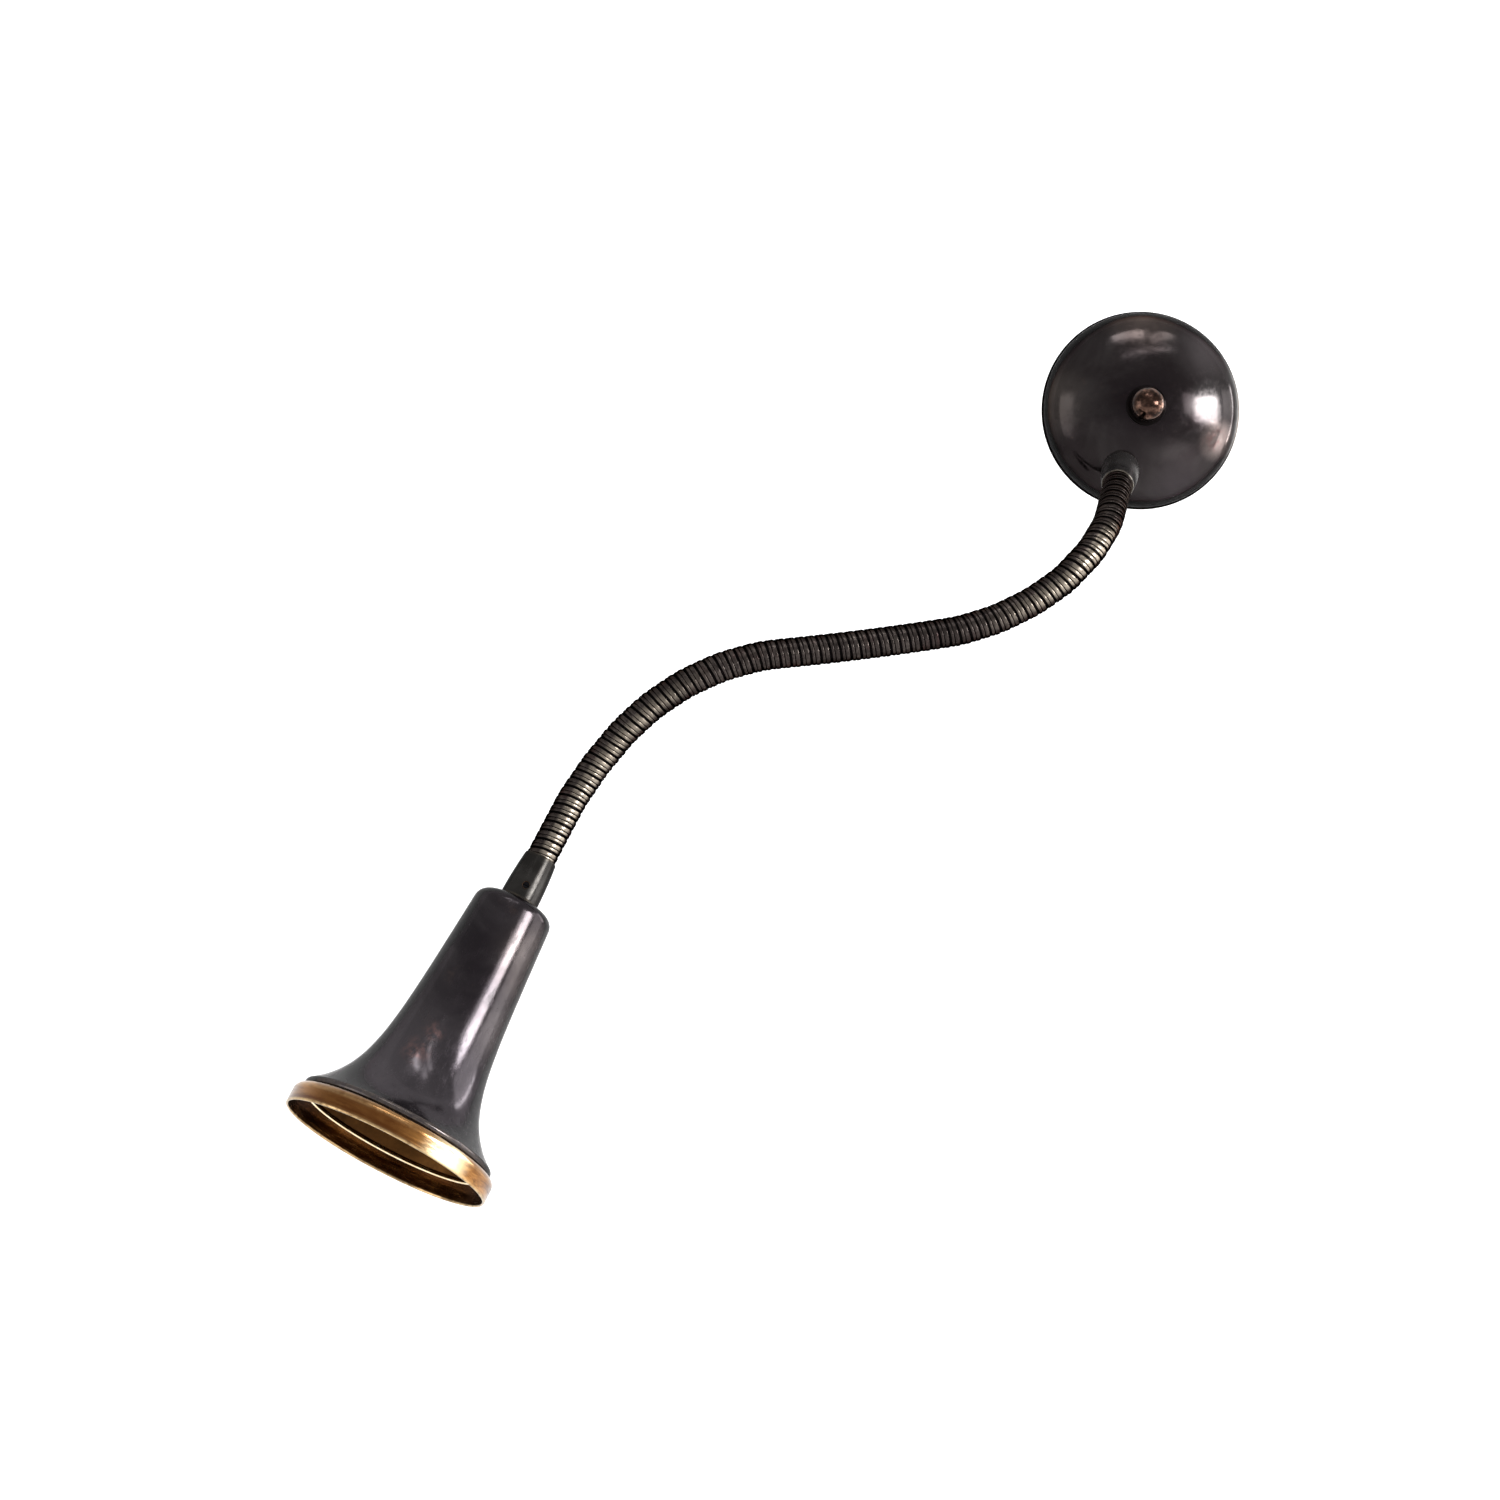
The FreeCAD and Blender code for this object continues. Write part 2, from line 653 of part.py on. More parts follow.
def flare_point(height, inset):
    """A point on the shade's outline, as (x from the cap, radius), set in from the outside."""
    slope = TAPER + FLARE_R / FLARE_REACH * math.exp((FLARE_HEIGHT - height) / FLARE_REACH)
    length = math.hypot(1, slope)
    return SHADE_LENGTH - height + inset * slope / length, flare(height) - inset / length


def flare_heights(first, last):
    """Heights along the shade, closer together where the flare bends most."""
    steps = 6
    return [first + (last - first) * (i / steps) ** 2 for i in range(steps + 1)]


def shoulder():
    """The middle of the cap's rounded shoulder and its end, as points on the outside."""
    neck_r = flare(NECK_TOP_HEIGHT)
    bulge = (SHOULDER_DROP * 0.42 + CAP_DROP * 0.3, neck_r - (neck_r - CAP_EDGE_R) * 0.27)
    return bulge, (SHOULDER_DROP, neck_r)


def shade_cap():
    """The spun cap, with a rounded shoulder that is soldered to the top of the neck."""
    hole, wall = THREAD_R + 3 * FIT, SHADE_WALL
    bulge, foot = shoulder()
    section = Outline(0, hole).line((0, CAP_FLAT_R), (CAP_DROP, CAP_EDGE_R)).arc(bulge, foot)
    section.line(flare_point(NECK_TOP_HEIGHT, wall))
    section.arc((bulge[0] + wall * 0.75, bulge[1] - wall * 0.65), (CAP_DROP + wall, CAP_EDGE_R - 0.3))
    section.line((wall, CAP_FLAT_R - 0.3), (wall, hole))
    return put(section.solid(), shade_frame())


def shade_body():
    """The spun shell: long neck, flare and rolled edge."""
    wall = SHADE_WALL
    outside = [flare_point(h, 0) for h in flare_heights(FLARE_END, NECK_TOP_HEIGHT)][::-1]
    section = Outline(*outside[0]).curve(outside[1:])
    seat = SHADE_LENGTH - RING_HEIGHT
    section.arc(((seat + outside[-1][0]) / 2 + 0.2, BEAD_R), (seat, BEAD_R - 1.1))
    section.line((seat, BEAD_INNER_R))
    inside = [flare_point(h, wall) for h in flare_heights(FLARE_END + 3, NECK_TOP_HEIGHT)]
    section.line(inside[0]).curve(inside[1:])
    return put(section.solid(), shade_frame())


def shade_ring():
    """The brass bezel: a straight band, rounded at its back, with a beaded ledge inside the mouth."""
    mouth, back = SHADE_LENGTH, SHADE_LENGTH - RING_HEIGHT
    band, ledge = mouth - RING_BAND, mouth - LEDGE_HEIGHT
    inner, tip = RING_R - RING_WALL, mouth - LIP_ROUND
    section = Outline(back, LEDGE_R + 2 * LEDGE_BEAD_R).line((back, RING_BACK_R))
    section.arc(((back + band) / 2 - 0.6, (RING_R + RING_BACK_R) / 2 + 0.55), (band, RING_R))
    section.line((tip, RING_R)).arc((mouth, RING_R - RING_WALL / 2), (tip, inner))
    bead = LEDGE_BEAD_R
    section.line((ledge, inner), (ledge, LEDGE_R + 2 * bead))
    section.arc((ledge + bead * 0.4, LEDGE_R + bead), (ledge - bead * 0.4, LEDGE_R))
    section.arc((ledge - bead, LEDGE_R + bead * 0.2), (ledge - 2 * bead, LEDGE_R + bead))
    return put(section.solid(), shade_frame())


# Lampholder

def nut_end():
    """Where the nut under the shade's cap ends."""
    return SHADE_WALL + THREAD_NUT_THICKNESS


def insulator_start():
    return nut_end() + HOLDER_BOSS_LENGTH + HOLDER_CUP_LENGTH


def shell_start():
    return insulator_start() + INSULATOR_THICKNESS


def holder_nipple():
    return put(tube(THREAD_R, NIPPLE_BORE_R, -NIPPLE_IN_FERRULE, NIPPLE_IN_SHADE), shade_frame())


def holder_lock_nut():
    return put(hex_nut(THREAD_NUT_FLATS, THREAD_R + FIT, SHADE_WALL, nut_end()), shade_frame())


def lampholder_cap():
    """The holder's brass cap: a threaded boss that opens into a cup."""
    start, rim, wall = nut_end(), insulator_start(), HOLDER_WALL
    boss = start + HOLDER_BOSS_LENGTH
    section = Outline(start, THREAD_R + FIT)
    section.line((start, HOLDER_BOSS_R - 0.5), (start + 0.5, HOLDER_BOSS_R), (boss - 1, HOLDER_BOSS_R))
    section.arc((boss + 0.2, HOLDER_R - 1.6), (boss + 3, HOLDER_R))
    section.line((rim, HOLDER_R), (rim, HOLDER_R - wall), (boss + 3, HOLDER_R - wall))
    section.arc((boss + 1.3, HOLDER_R - 2.4), (boss, HOLDER_BOSS_R - 1)).line((boss, THREAD_R + FIT))
    return put(section.solid(), shade_frame())


def lampholder_insulator():
    """The porcelain disc that carries the contacts and terminals."""
    start, end = insulator_start(), shell_start()
    disc = rod(HOLDER_R, start, end)
    holes = [rod(CONTACT_R / 2 + FIT, start - 1, end + 1)]
    for side in (-1, 1):
        hole = rod(CLAMP_SCREW_R + FIT, start - 1, end - 1)
        hole.translate(Vector(0, 0, side * TERMINAL_OFFSET))
        holes.append(hole)
    return put(disc.cut(holes), shade_frame())


def lampholder_contacts():
    """The centre contact on its rivet, and the two terminal screws behind the insulator."""
    start, end = insulator_start(), shell_start()
    rivet = Outline(start - 1, 0).line((start - 1, CONTACT_R), (start, CONTACT_R), (start, CONTACT_R / 2))
    rivet.line((end + 0.6, CONTACT_R / 2), (end + 0.6, CONTACT_R), (end + CONTACT_HEIGHT, CONTACT_R * 0.6))
    solids = [rivet.line((end + CONTACT_HEIGHT, 0)).solid()]
    screw = slotted_screw(CLAMP_SCREW_R, CLAMP_HEAD_R, 1.4, 0, INSULATOR_THICKNESS - 1.2 + 1.4)
    for side in (-1, 1):
        tip = Vector(start + INSULATOR_THICKNESS - 1.2, 0, side * TERMINAL_OFFSET)
        solids.append(put(screw, Placement(tip, Rotation(Z, 180))))
    return put(Part.makeCompound(solids), shade_frame())


def lampholder_shell():
    """The threaded brass shell for the lamp's cap: a base round the contact, a relief, and the thread."""
    start, end = shell_start(), shell_start() + SHELL_LENGTH
    outer, relief = SOCKET_THREAD_R + SHELL_WALL, SOCKET_THREAD_R + SHELL_RELIEF_DEPTH
    thread = start + SHELL_RELIEF_LENGTH
    section = Outline(start, CONTACT_R + 1.2).line((start, outer), (end, outer), (end, SOCKET_THREAD_R))
    section.line((thread, SOCKET_THREAD_R), (thread, relief), (start + SHELL_WALL, relief))
    section.line((start + SHELL_WALL, CONTACT_R + 1.2))
    return put(section.solid(), shade_frame())


def lampholder_sleeve():
    """The porcelain sleeve round the shell, with a rounded mouth."""
    start, end = shell_start(), shell_start() + SHELL_LENGTH + SLEEVE_OVERHANG
    inner = SOCKET_THREAD_R + SHELL_WALL + FIT
    section = Outline(start, inner).line((start, HOLDER_R), (end - 2, HOLDER_R))
    section.arc((end - 0.6, HOLDER_R - 0.6), (end, HOLDER_R - 2))
    section.line((end, SLEEVE_MOUTH_R), (end - SLEEVE_OVERHANG, inner))
    return put(section.solid(), shade_frame())


def model():
    """Every node by name, in the lamp's own frame."""
    makers = [
        wall_bracket, canopy_stud, stud_lock_nut, canopy_dome, ball_nut_washer, ball_nut,
        terminal_block, bracket_screws, canopy_ferrule, ferrule_lock_nut, flex,
        shade_ferrule, ferrule_set_screw, shade_cap, shade_body, shade_ring, holder_nipple, holder_lock_nut,
        lampholder_cap, lampholder_insulator, lampholder_contacts, lampholder_shell, lampholder_sleeve,
    ]
    nodes = {make.__name__: make() for make in makers}
    nodes.update(gooseneck_pieces())
    return nodes


def main():
    os.makedirs("parts", exist_ok=True)
    for name, shape in model().items():
        shape.exportStep(f"parts/{name}.step")


if __name__ == "__main__":
    main()
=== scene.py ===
"""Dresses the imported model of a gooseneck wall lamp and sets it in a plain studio.

The lamp hangs on the wall plane y = 0 and stands out towards -Y, with +Z up. Sizes are written in
millimetres and meshes are made in metres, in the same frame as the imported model.
"""
import json
import logging
import math
from dataclasses import dataclass, field, replace
from enum import Enum

import bmesh
import bpy
from mathutils import Matrix, Vector
from mathutils.geometry import interpolate_bezier

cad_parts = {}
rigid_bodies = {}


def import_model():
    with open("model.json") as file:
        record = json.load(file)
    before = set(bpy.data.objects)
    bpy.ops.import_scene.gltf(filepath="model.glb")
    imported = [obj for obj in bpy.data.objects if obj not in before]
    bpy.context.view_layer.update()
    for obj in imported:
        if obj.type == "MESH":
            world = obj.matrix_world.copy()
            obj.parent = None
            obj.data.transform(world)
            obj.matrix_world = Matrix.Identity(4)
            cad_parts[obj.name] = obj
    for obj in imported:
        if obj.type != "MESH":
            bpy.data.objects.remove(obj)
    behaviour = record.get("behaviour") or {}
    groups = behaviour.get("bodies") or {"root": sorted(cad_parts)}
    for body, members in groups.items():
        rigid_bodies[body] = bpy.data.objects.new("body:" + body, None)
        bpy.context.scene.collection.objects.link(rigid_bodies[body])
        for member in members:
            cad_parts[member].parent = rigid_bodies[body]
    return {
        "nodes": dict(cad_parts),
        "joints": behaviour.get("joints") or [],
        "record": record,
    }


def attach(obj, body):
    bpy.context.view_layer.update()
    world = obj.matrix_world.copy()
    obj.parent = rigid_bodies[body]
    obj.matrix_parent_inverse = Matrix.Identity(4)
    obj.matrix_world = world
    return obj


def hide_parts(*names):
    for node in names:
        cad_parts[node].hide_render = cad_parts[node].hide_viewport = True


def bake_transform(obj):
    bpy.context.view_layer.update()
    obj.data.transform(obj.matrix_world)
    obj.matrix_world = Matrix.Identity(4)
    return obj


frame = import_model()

MM = 0.001
WELD = 1e-7  # metres within which two points of a mesh are one
TINY = 1e-6  # millimetres that count as nothing
WHITE = (1, 1, 1, 1)
Colour = tuple[float, float, float]
Point = tuple[float, float, float]
Pair = tuple[float, float]
Piece = bpy.types.Object
Mesh = bpy.types.Mesh
Material = bpy.types.Material
Socket = bpy.types.NodeSocket

log = logging.getLogger("lamp")
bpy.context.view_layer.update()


class Slot(Enum):
    """The finishes that the record names."""

    BLACKENED = "blackened_brass"
    GOOSENECK = "gooseneck_bronze"
    BALL_NUT = "ball_nut_brass"
    RING = "ring_brass"
    STEEL = "zinc_steel"
    HOLDER = "holder_brass"
    PORCELAIN = "porcelain"
    BLOCK = "block_plastic"
    FLEX = "flex_sheath"


# Node trees


class Tree:
    """Adds nodes to a shader or geometry tree and links them in one call each."""

    def __init__(self, tree: bpy.types.NodeTree) -> None:
        """Keeps the tree, emptied."""
        self.tree = tree
        self.tree.nodes.clear()

    def add(self, kind: str, inputs: dict | None = None, **settings) -> bpy.types.Node:
        """Adds a node.

        Args:
            kind: The node's type name.
            inputs: Input names or numbers, each with a value or the socket to link from.
            **settings: Properties of the node itself.

        Returns:
            The new node.
        """
        node = self.tree.nodes.new(kind)
        for name, value in settings.items():
            setattr(node, name, value)
        for name, value in (inputs or {}).items():
            if isinstance(value, Socket):
                self.tree.links.new(value, node.inputs[name])
            else:
                node.inputs[name].default_value = value
        return node

    def math(self, operation: str, *values) -> Socket:
        """Adds a Math node on one, two or three numbers or sockets."""
        return self.add("ShaderNodeMath", dict(enumerate(values)), operation=operation).outputs[0]

    def times(self, first, second) -> Socket:
        """Multiplies two numbers or sockets."""
        return self.math("MULTIPLY", first, second)

    def vector(self, operation: str, *values) -> Socket:
        """Adds a Vector Math node on whole vectors, whose result may be a number."""
        node = self.add("ShaderNodeVectorMath", dict(enumerate(values)), operation=operation)
        return node.outputs["Value" if operation in ("DISTANCE", "DOT_PRODUCT") else "Vector"]

    def scaled(self, vector: Socket, factor: Socket) -> Socket:
        """Multiplies a vector by a number."""
        inputs = {0: vector, "Scale": factor}
        return self.add("ShaderNodeVectorMath", inputs, operation="SCALE").outputs[0]

    def seen(self) -> Socket:
        """Gives 1 to what meets the eye, straight, mirrored or through glass, and 0 to what only lights."""
        rays = self.add("ShaderNodeLightPath").outputs
        bent = self.math("MAXIMUM", rays["Is Glossy Ray"], rays["Is Transmission Ray"])
        return self.math("MAXIMUM", rays["Is Camera Ray"], bent)


class PathTree(Tree):
    """A geometry tree that builds along a path, with named inputs for its sizes."""

    KINDS = {"Path": "Object", "Material": "Material", "Points": "Int", "Steps": "Int"}

    def __init__(self, name: str, *sizes: str) -> None:
        """Makes the tree and its inputs.

        Args:
            name: The tree's name.
            *sizes: The names of its sizes and counts.
        """
        group = bpy.data.node_groups.new(name, "GeometryNodeTree")
        for title in ("Path", *sizes, "Material"):
            kind = self.KINDS.get(title, "Float")
            group.interface.new_socket(title, in_out="INPUT", socket_type=f"NodeSocket{kind}")
        group.interface.new_socket("Geometry", in_out="OUTPUT", socket_type="NodeSocketGeometry")
        super().__init__(group)
        self.given = self.add("NodeGroupInput").outputs
        line = self.add("GeometryNodeObjectInfo", {"Object": self.given["Path"]}, transform_space="ORIGINAL")
        self.line = line.outputs["Geometry"]

    def ended(self, geometry: Socket) -> bpy.types.NodeTree:
        """Ends the tree: makes its result real and gives it the material."""
        real = self.add("GeometryNodeRealizeInstances", {"Geometry": geometry}).outputs[0]
        dressed = self.add("GeometryNodeSetMaterial", {"Geometry": real, "Material": self.given["Material"]})
        self.add("NodeGroupOutput", {"Geometry": dressed.outputs[0]})
        return self.tree


@dataclass(frozen=True)
class Grain:
    """A noise pattern: waves to a metre, octaves and their strength, and how its values are mapped."""

    scale: float
    detail: float
    rough: float
    low: Pair = (0.3, 0.0)
    high: Pair = (0.7, 1.0)
    stretch: Point = (1, 1, 1)
    swirl: float = 0.0


@dataclass(frozen=True)
class Mark:
    """A reddish place on a turned piece, in the piece's own axes in millimetres: worn on the shade, a painted
    reflection on the dome.
    """

    place: Point
    reach: float


@dataclass(frozen=True)
class Tone:
    """A soft patch of another colour on a turned piece, in the piece's own axes in millimetres."""

    place: Point
    reach: float
    colour: Colour
    strength: float = 1.0


class Shader(Tree):
    """A material's tree, with the patterns that metal finishes are made of."""

    UNEVEN = Grain(46, 4, 0.65, (0.34, 0.6), (0.62, 1))
    MIX_COLOURS = (6, 7)
    MIX_RESULT = 2

    def __init__(self, name: str, turned_piece: bool = False) -> None:
        """Makes an empty material.

        Args:
            name: The material's name.
            turned_piece: Whether patterns lie in the turned piece's own axes, X along its axis.
        """
        self.material = bpy.data.materials.new(name)
        self.material.use_nodes = True
        super().__init__(self.material.node_tree)
        if turned_piece:
            self.place = self.add("ShaderNodeAttribute", attribute_name="local").outputs["Vector"]
        else:
            self.place = self.add("ShaderNodeTexCoord").outputs["Object"]

    def noise(self, grain: Grain) -> Socket:
        """Adds a noise pattern on the piece's own coordinates.

        Args:
            grain: The pattern.

        Returns:
            Its value, about 0 to 1, before it is mapped.
        """
        place = self.add("ShaderNodeMapping", {"Vector": self.place, "Scale": grain.stretch}).outputs[0]
        inputs = {"Vector": place, "Scale": grain.scale, "Detail": grain.detail, "Roughness": grain.rough,
                  "Distortion": grain.swirl}
        return self.add("ShaderNodeTexNoise", inputs).outputs["Fac"]

    def ramp(self, value: Socket, low: Pair, high: Pair) -> Socket:
        """Maps a value smoothly between two pairs, each a value and its result, and holds it beyond them."""
        inputs = {"Value": value, "From Min": low[0], "From Max": high[0], "To Min": low[1],
                  "To Max": high[1]}
        return self.add("ShaderNodeMapRange", inputs, interpolation_type="SMOOTHSTEP").outputs["Result"]

    def rise(self, value: Socket, span: Pair) -> Socket:
        """Maps a value smoothly onto 0 to 1 over a span."""
        return self.ramp(value, (span[0], 0), (span[1], 1))

    def pattern(self, grain: Grain) -> Socket:
        """Adds a noise pattern and maps its values."""
        return self.ramp(self.noise(grain), grain.low, grain.high)

    def mix(self, factor: Socket, first, second) -> Socket:
        """Mixes two colours.

        Args:
            factor: 0 for the first and 1 for the second.
            first: A colour or its socket.
            second: A colour or its socket.

        Returns:
            The mixed colour's socket.
        """
        inputs = {0: factor}
        for number, colour in zip(self.MIX_COLOURS, (first, second)):
            inputs[number] = colour if isinstance(colour, Socket) else (*colour, 1)
        return self.add("ShaderNodeMix", inputs, data_type="RGBA").outputs[self.MIX_RESULT]

    def near(self, place: Point, reach: float) -> Socket:
        """Marks out a soft round patch in millimetres: 1 in the middle, falling to 0 at its reach."""
        apart = self.vector("DISTANCE", self.place, tuple(value * MM for value in place))
        return self.ramp(apart, (0, 1), (reach * MM, 0))

    def toned(self, colour, tones: tuple[Tone, ...]):
        """Carries a colour towards others in soft, uneven patches.

        Args:
            colour: A colour or its socket.
            tones: The patches.

        Returns:
            The resulting colour's socket, or the colour itself where there are no patches.
        """
        uneven = self.pattern(self.UNEVEN) if tones else None
        for tone in tones:
            share = self.times(self.near(tone.place, tone.reach), uneven)
            colour = self.mix(self.times(share, tone.strength), colour, tone.colour)
        return colour

    def attribute(self, name: str) -> Socket:
        """Reads a number stored on the mesh."""
        return self.add("ShaderNodeAttribute", attribute_name=name).outputs["Fac"]

    def finish(self, inputs: dict, height: Socket | None = None, depth: float = 0.0) -> Material:
        """Ends the tree with the surface.

        Args:
            inputs: The Principled shader's inputs.
            height: A bump pattern from 0 to 1.
            depth: The bump's height in millimetres.

        Returns:
            The finished material.
        """
        surface = self.add("ShaderNodeBsdfPrincipled", inputs)
        if height is not None:
            bump = self.add("ShaderNodeBump", {"Height": height, "Distance": depth * MM, "Strength": 1.0})
            self.tree.links.new(bump.outputs[0], surface.inputs["Normal"])
        self.add("ShaderNodeOutputMaterial", {"Surface": surface.outputs[0]})
        return self.material


# Finishes

SCUFFS = Grain(330, 5, 0.7, (0.44, 0), (0.70, 0.12), (0.35, 1, 1))


@dataclass(frozen=True)
class BlackenedBrass:
    """Brass darkened in a bath and rubbed back: nearly black, with worn edges and faint red-brown marks."""

    deep: Colour = (0.0150, 0.0120, 0.0125)
    cloud: Colour = (0.030, 0.0265, 0.0265)
    bronze: Colour = (0.055, 0.037, 0.031)
    rubbed: Colour = (0.20, 0.16, 0.11)
    flush_wear_and_reflection: Colour = (0.125, 0.072, 0.068)
    inside: Colour = (0.12, 0.052, 0.016)
    shaded: float = 0.45
    painted_shade: Colour = (0.005, 0.004, 0.004)
    grazing: Colour = (0.15, 0.14, 0.14)
    gloss: float = 0.25
    smooth: float = 0.11
    dulled: float = 0.2
    metal: float = 0.86
    wax: float = 0.0
    relief: float = 0.004
    marks: tuple[Mark, ...] = ()
    tones: tuple[Tone, ...] = ()
    painted_rim_highlight: tuple[Tone, ...] = ()
    painted_rim_sheen: tuple[Tone, ...] = ()
    clouds: Grain = Grain(24, 5, 0.62, (0.36, 0), (0.66, 1), swirl=0.6)
    blotches: Grain = Grain(48, 7, 0.72, (0.60, 0), (0.80, 0.6))
    tooth: Grain = Grain(520, 4, 0.6, (0.34, 0.25), (0.62, 1))
    specks: Grain = Grain(900, 2, 0.5, (0.70, 0), (0.80, 0.4))
    flush: Grain = Grain(260, 6, 0.75, (0.42, 0), (0.66, 0.8))
    smears: Grain = Grain(60, 6, 0.7, (0.36, 0), (0.72, 0.06), swirl=1.2)
    scuffs: Grain = SCUFFS

    def material(self, name: str) -> Material:
        """Builds the finish.

        Args:
            name: The material's name.

        Returns:
            The material.
        """
        tree = Shader(name, turned_piece=True)
        clouds, tooth = tree.pattern(self.clouds), tree.noise(self.tooth)
        colour = tree.mix(clouds, self.deep, self.cloud)
        colour = tree.toned(tree.mix(tree.pattern(self.blotches), colour, self.bronze), self.tones)
        for mark in self.marks:
            flush = tree.times(tree.near(mark.place, mark.reach), tree.pattern(self.flush))
            colour = tree.mix(flush, colour, self.flush_wear_and_reflection)
        colour = tree.mix(tree.pattern(self.specks), colour, self.bronze)
        worn = tree.times(tree.attribute("edge"), tree.ramp(tooth, self.tooth.low, self.tooth.high))
        colour = tree.mix(worn, colour, self.rubbed)
        recess = tree.attribute("recess")
        depths = tree.mix(clouds, self.inside, tuple(value * self.shaded for value in self.inside))
        colour = tree.mix(recess, colour, depths)
        # Where recess is -1 the colour is painted near-black as painted shade, and on the dome rim's right
        # side it is lighter as a painted highlight.
        colour = tree.mix(tree.times(recess, -1.0), colour, tree.toned(self.painted_shade, self.painted_rim_highlight))
        rough = tree.math("ADD", tree.pattern(self.smears), tree.pattern(self.scuffs))
        covered = tree.math("ABSOLUTE", recess)
        rough = tree.math("MULTIPLY_ADD", covered, self.dulled, tree.math("ADD", rough, self.smooth))
        # On the dome rim's right side the specular tint turns white: a painted sheen.
        tint = tree.toned(self.grazing, self.painted_rim_sheen) if self.painted_rim_sheen else (*self.grazing, 1)
        wax = tree.math("MULTIPLY_ADD", covered, -self.wax, self.wax) if self.wax else 0.0
        return tree.finish({"Base Color": colour, "Metallic": self.metal, "Roughness": rough,
                            "Specular IOR Level": self.gloss, "Specular Tint": tint, "Coat Weight": wax,
                            "Coat Roughness": self.smooth}, height=tooth, depth=self.relief)


RAW = (0.085, 0.055, 0.030)
DULLED = BlackenedBrass(deep=(0.026, 0.024, 0.024), cloud=(0.072, 0.067, 0.066), grazing=(0.9, 0.9, 0.9),
                        smooth=0.22, metal=0.6)
SATIN = BlackenedBrass(deep=(0.015, 0.014, 0.013), cloud=(0.036, 0.034, 0.032), smooth=0.17, metal=0.8)
HANDLED = BlackenedBrass(deep=(0.0095, 0.0070, 0.0090), cloud=(0.030, 0.0255, 0.028), smooth=0.14, metal=0.80,
                         wax=0.16, inside=(0.085, 0.036, 0.010), scuffs=replace(SCUFFS, high=(0.70, 0.19)))
# The dome's tones are painted light. The lighter patches on its left, top, upper right and lower side are
# painted reflections of the room. The bright warm patch at the lower right is a painted reflection, the
# darker crown is a painted dark reflection, and the lighter spot at the right is a painted highlight.
SPUN = BlackenedBrass(
    inside=RAW,
    tones=(Tone((10.0, -38.0, 4.0), 22.0, (0.048, 0.040, 0.036)),
           Tone((12.0, 0.0, 42.0), 24.0, (0.082, 0.064, 0.058)),
           Tone((16.0, 27.0, 25.0), 20.0, (0.066, 0.057, 0.059)),
           Tone((14.0, 14.0, -36.0), 20.0, (0.034, 0.029, 0.031)),
           Tone((18.0, 34.0, -15.0), 12.0, (0.20, 0.16, 0.15)),
           Tone((28.0, -2.0, 0.0), 30.0, (0.0090, 0.0066, 0.0080), 0.9),
           Tone((22.0, 30.0, 1.5), 13.0, (0.075, 0.069, 0.069))),
    # A painted highlight: the rim band is lighter on its right side, towards the lights.
    painted_rim_highlight=(Tone((1.5, 46.0, -2.0), 30.0, (0.20, 0.175, 0.155)),),
    # A painted sheen: white specular tint on the rim's right side.
    painted_rim_sheen=(Tone((3.0, 45.0, -3.0), 42.0, (1.0, 1.0, 1.0)),))


@dataclass(frozen=True)
class BurnishedBand:
    """The gooseneck's wound band: near-black between the turns as painted shade, with burnished crests, and a
    painted highlight on the side that faces the key light near both ends.
    """

    painted_groove_shade: Colour = (0.002, 0.0017, 0.0017)
    band: Colour = (0.0185, 0.0150, 0.0140)
    red: Colour = (0.034, 0.019, 0.018)
    crest: Colour = (0.060, 0.050, 0.045)
    polished: Colour = (0.190, 0.163, 0.132)
    grazing: Colour = (0.10, 0.09, 0.09)
    near_canopy: tuple[Pair, Pair] = ((0.042, 0.058), (0.080, 0.125))
    near_shade: Pair = (0.240, 0.285)
    highlight_side_span: Pair = (0.74, 0.96)
    burnished: Pair = (0.80, 0.97)
    rubbed: Pair = (0.62, 0.95)
    dark: tuple[Pair, Pair] = ((0.60, 1), (0.93, 0))
    relief: float = 0.006
    scuffs: Grain = Grain(420, 5, 0.7, (0.34, 0.1), (0.66, 1))
    patches: Grain = Grain(30, 3, 0.5, (0.38, 0.25), (0.64, 1))
    reds: Grain = Grain(90, 4, 0.6, (0.52, 0), (0.72, 0.6))
    smears: Grain = Grain(260, 4, 0.6, (0.34, 0.6), (0.60, 1))
    dulling: Grain = Grain(300, 5, 0.6, (0.30, 0.24), (0.70, 0.34))
    tooth: Grain = Grain(900, 2, 0.5)

    def material(self, name: str) -> Material:
        """Builds the finish.

        Args:
            name: The material's name.

        Returns:
            The material.
        """
        tree = Shader(name)
        crest, travel = tree.attribute("crest"), tree.attribute("travel")
        uneven = tree.times(tree.pattern(self.scuffs), tree.pattern(self.patches))
        burnish = tree.times(tree.rise(crest, self.burnished), uneven)
        # The polish colour is a painted highlight: it lights the crests on the side that faces the key light,
        # near both ends of the arm.
        rise, fall = self.near_canopy
        upper = tree.times(tree.rise(travel, rise), tree.ramp(travel, (fall[0], 1), (fall[1], 0)))
        lower = tree.rise(travel, self.near_shade)
        worn = tree.times(tree.math("MAXIMUM", upper, lower), tree.rise(tree.attribute("side"), self.highlight_side_span))
        polish_and_highlight = tree.times(tree.times(tree.rise(crest, self.rubbed), tree.pattern(self.smears)), worn)
        colour = tree.mix(tree.pattern(self.reds), self.band, self.red)
        colour = tree.mix(polish_and_highlight, tree.mix(burnish, colour, self.crest), self.polished)
        # Below the band's crest, and on the whole core wire, the colour is painted near-black: painted shade
        # between the turns.
        colour = tree.mix(tree.ramp(crest, *self.dark), colour, self.painted_groove_shade)
        return tree.finish({"Base Color": colour, "Metallic": 1.0, "Roughness": tree.pattern(self.dulling),
                            "Specular Tint": (*self.grazing, 1)},
                           height=tree.noise(self.tooth), depth=self.relief)


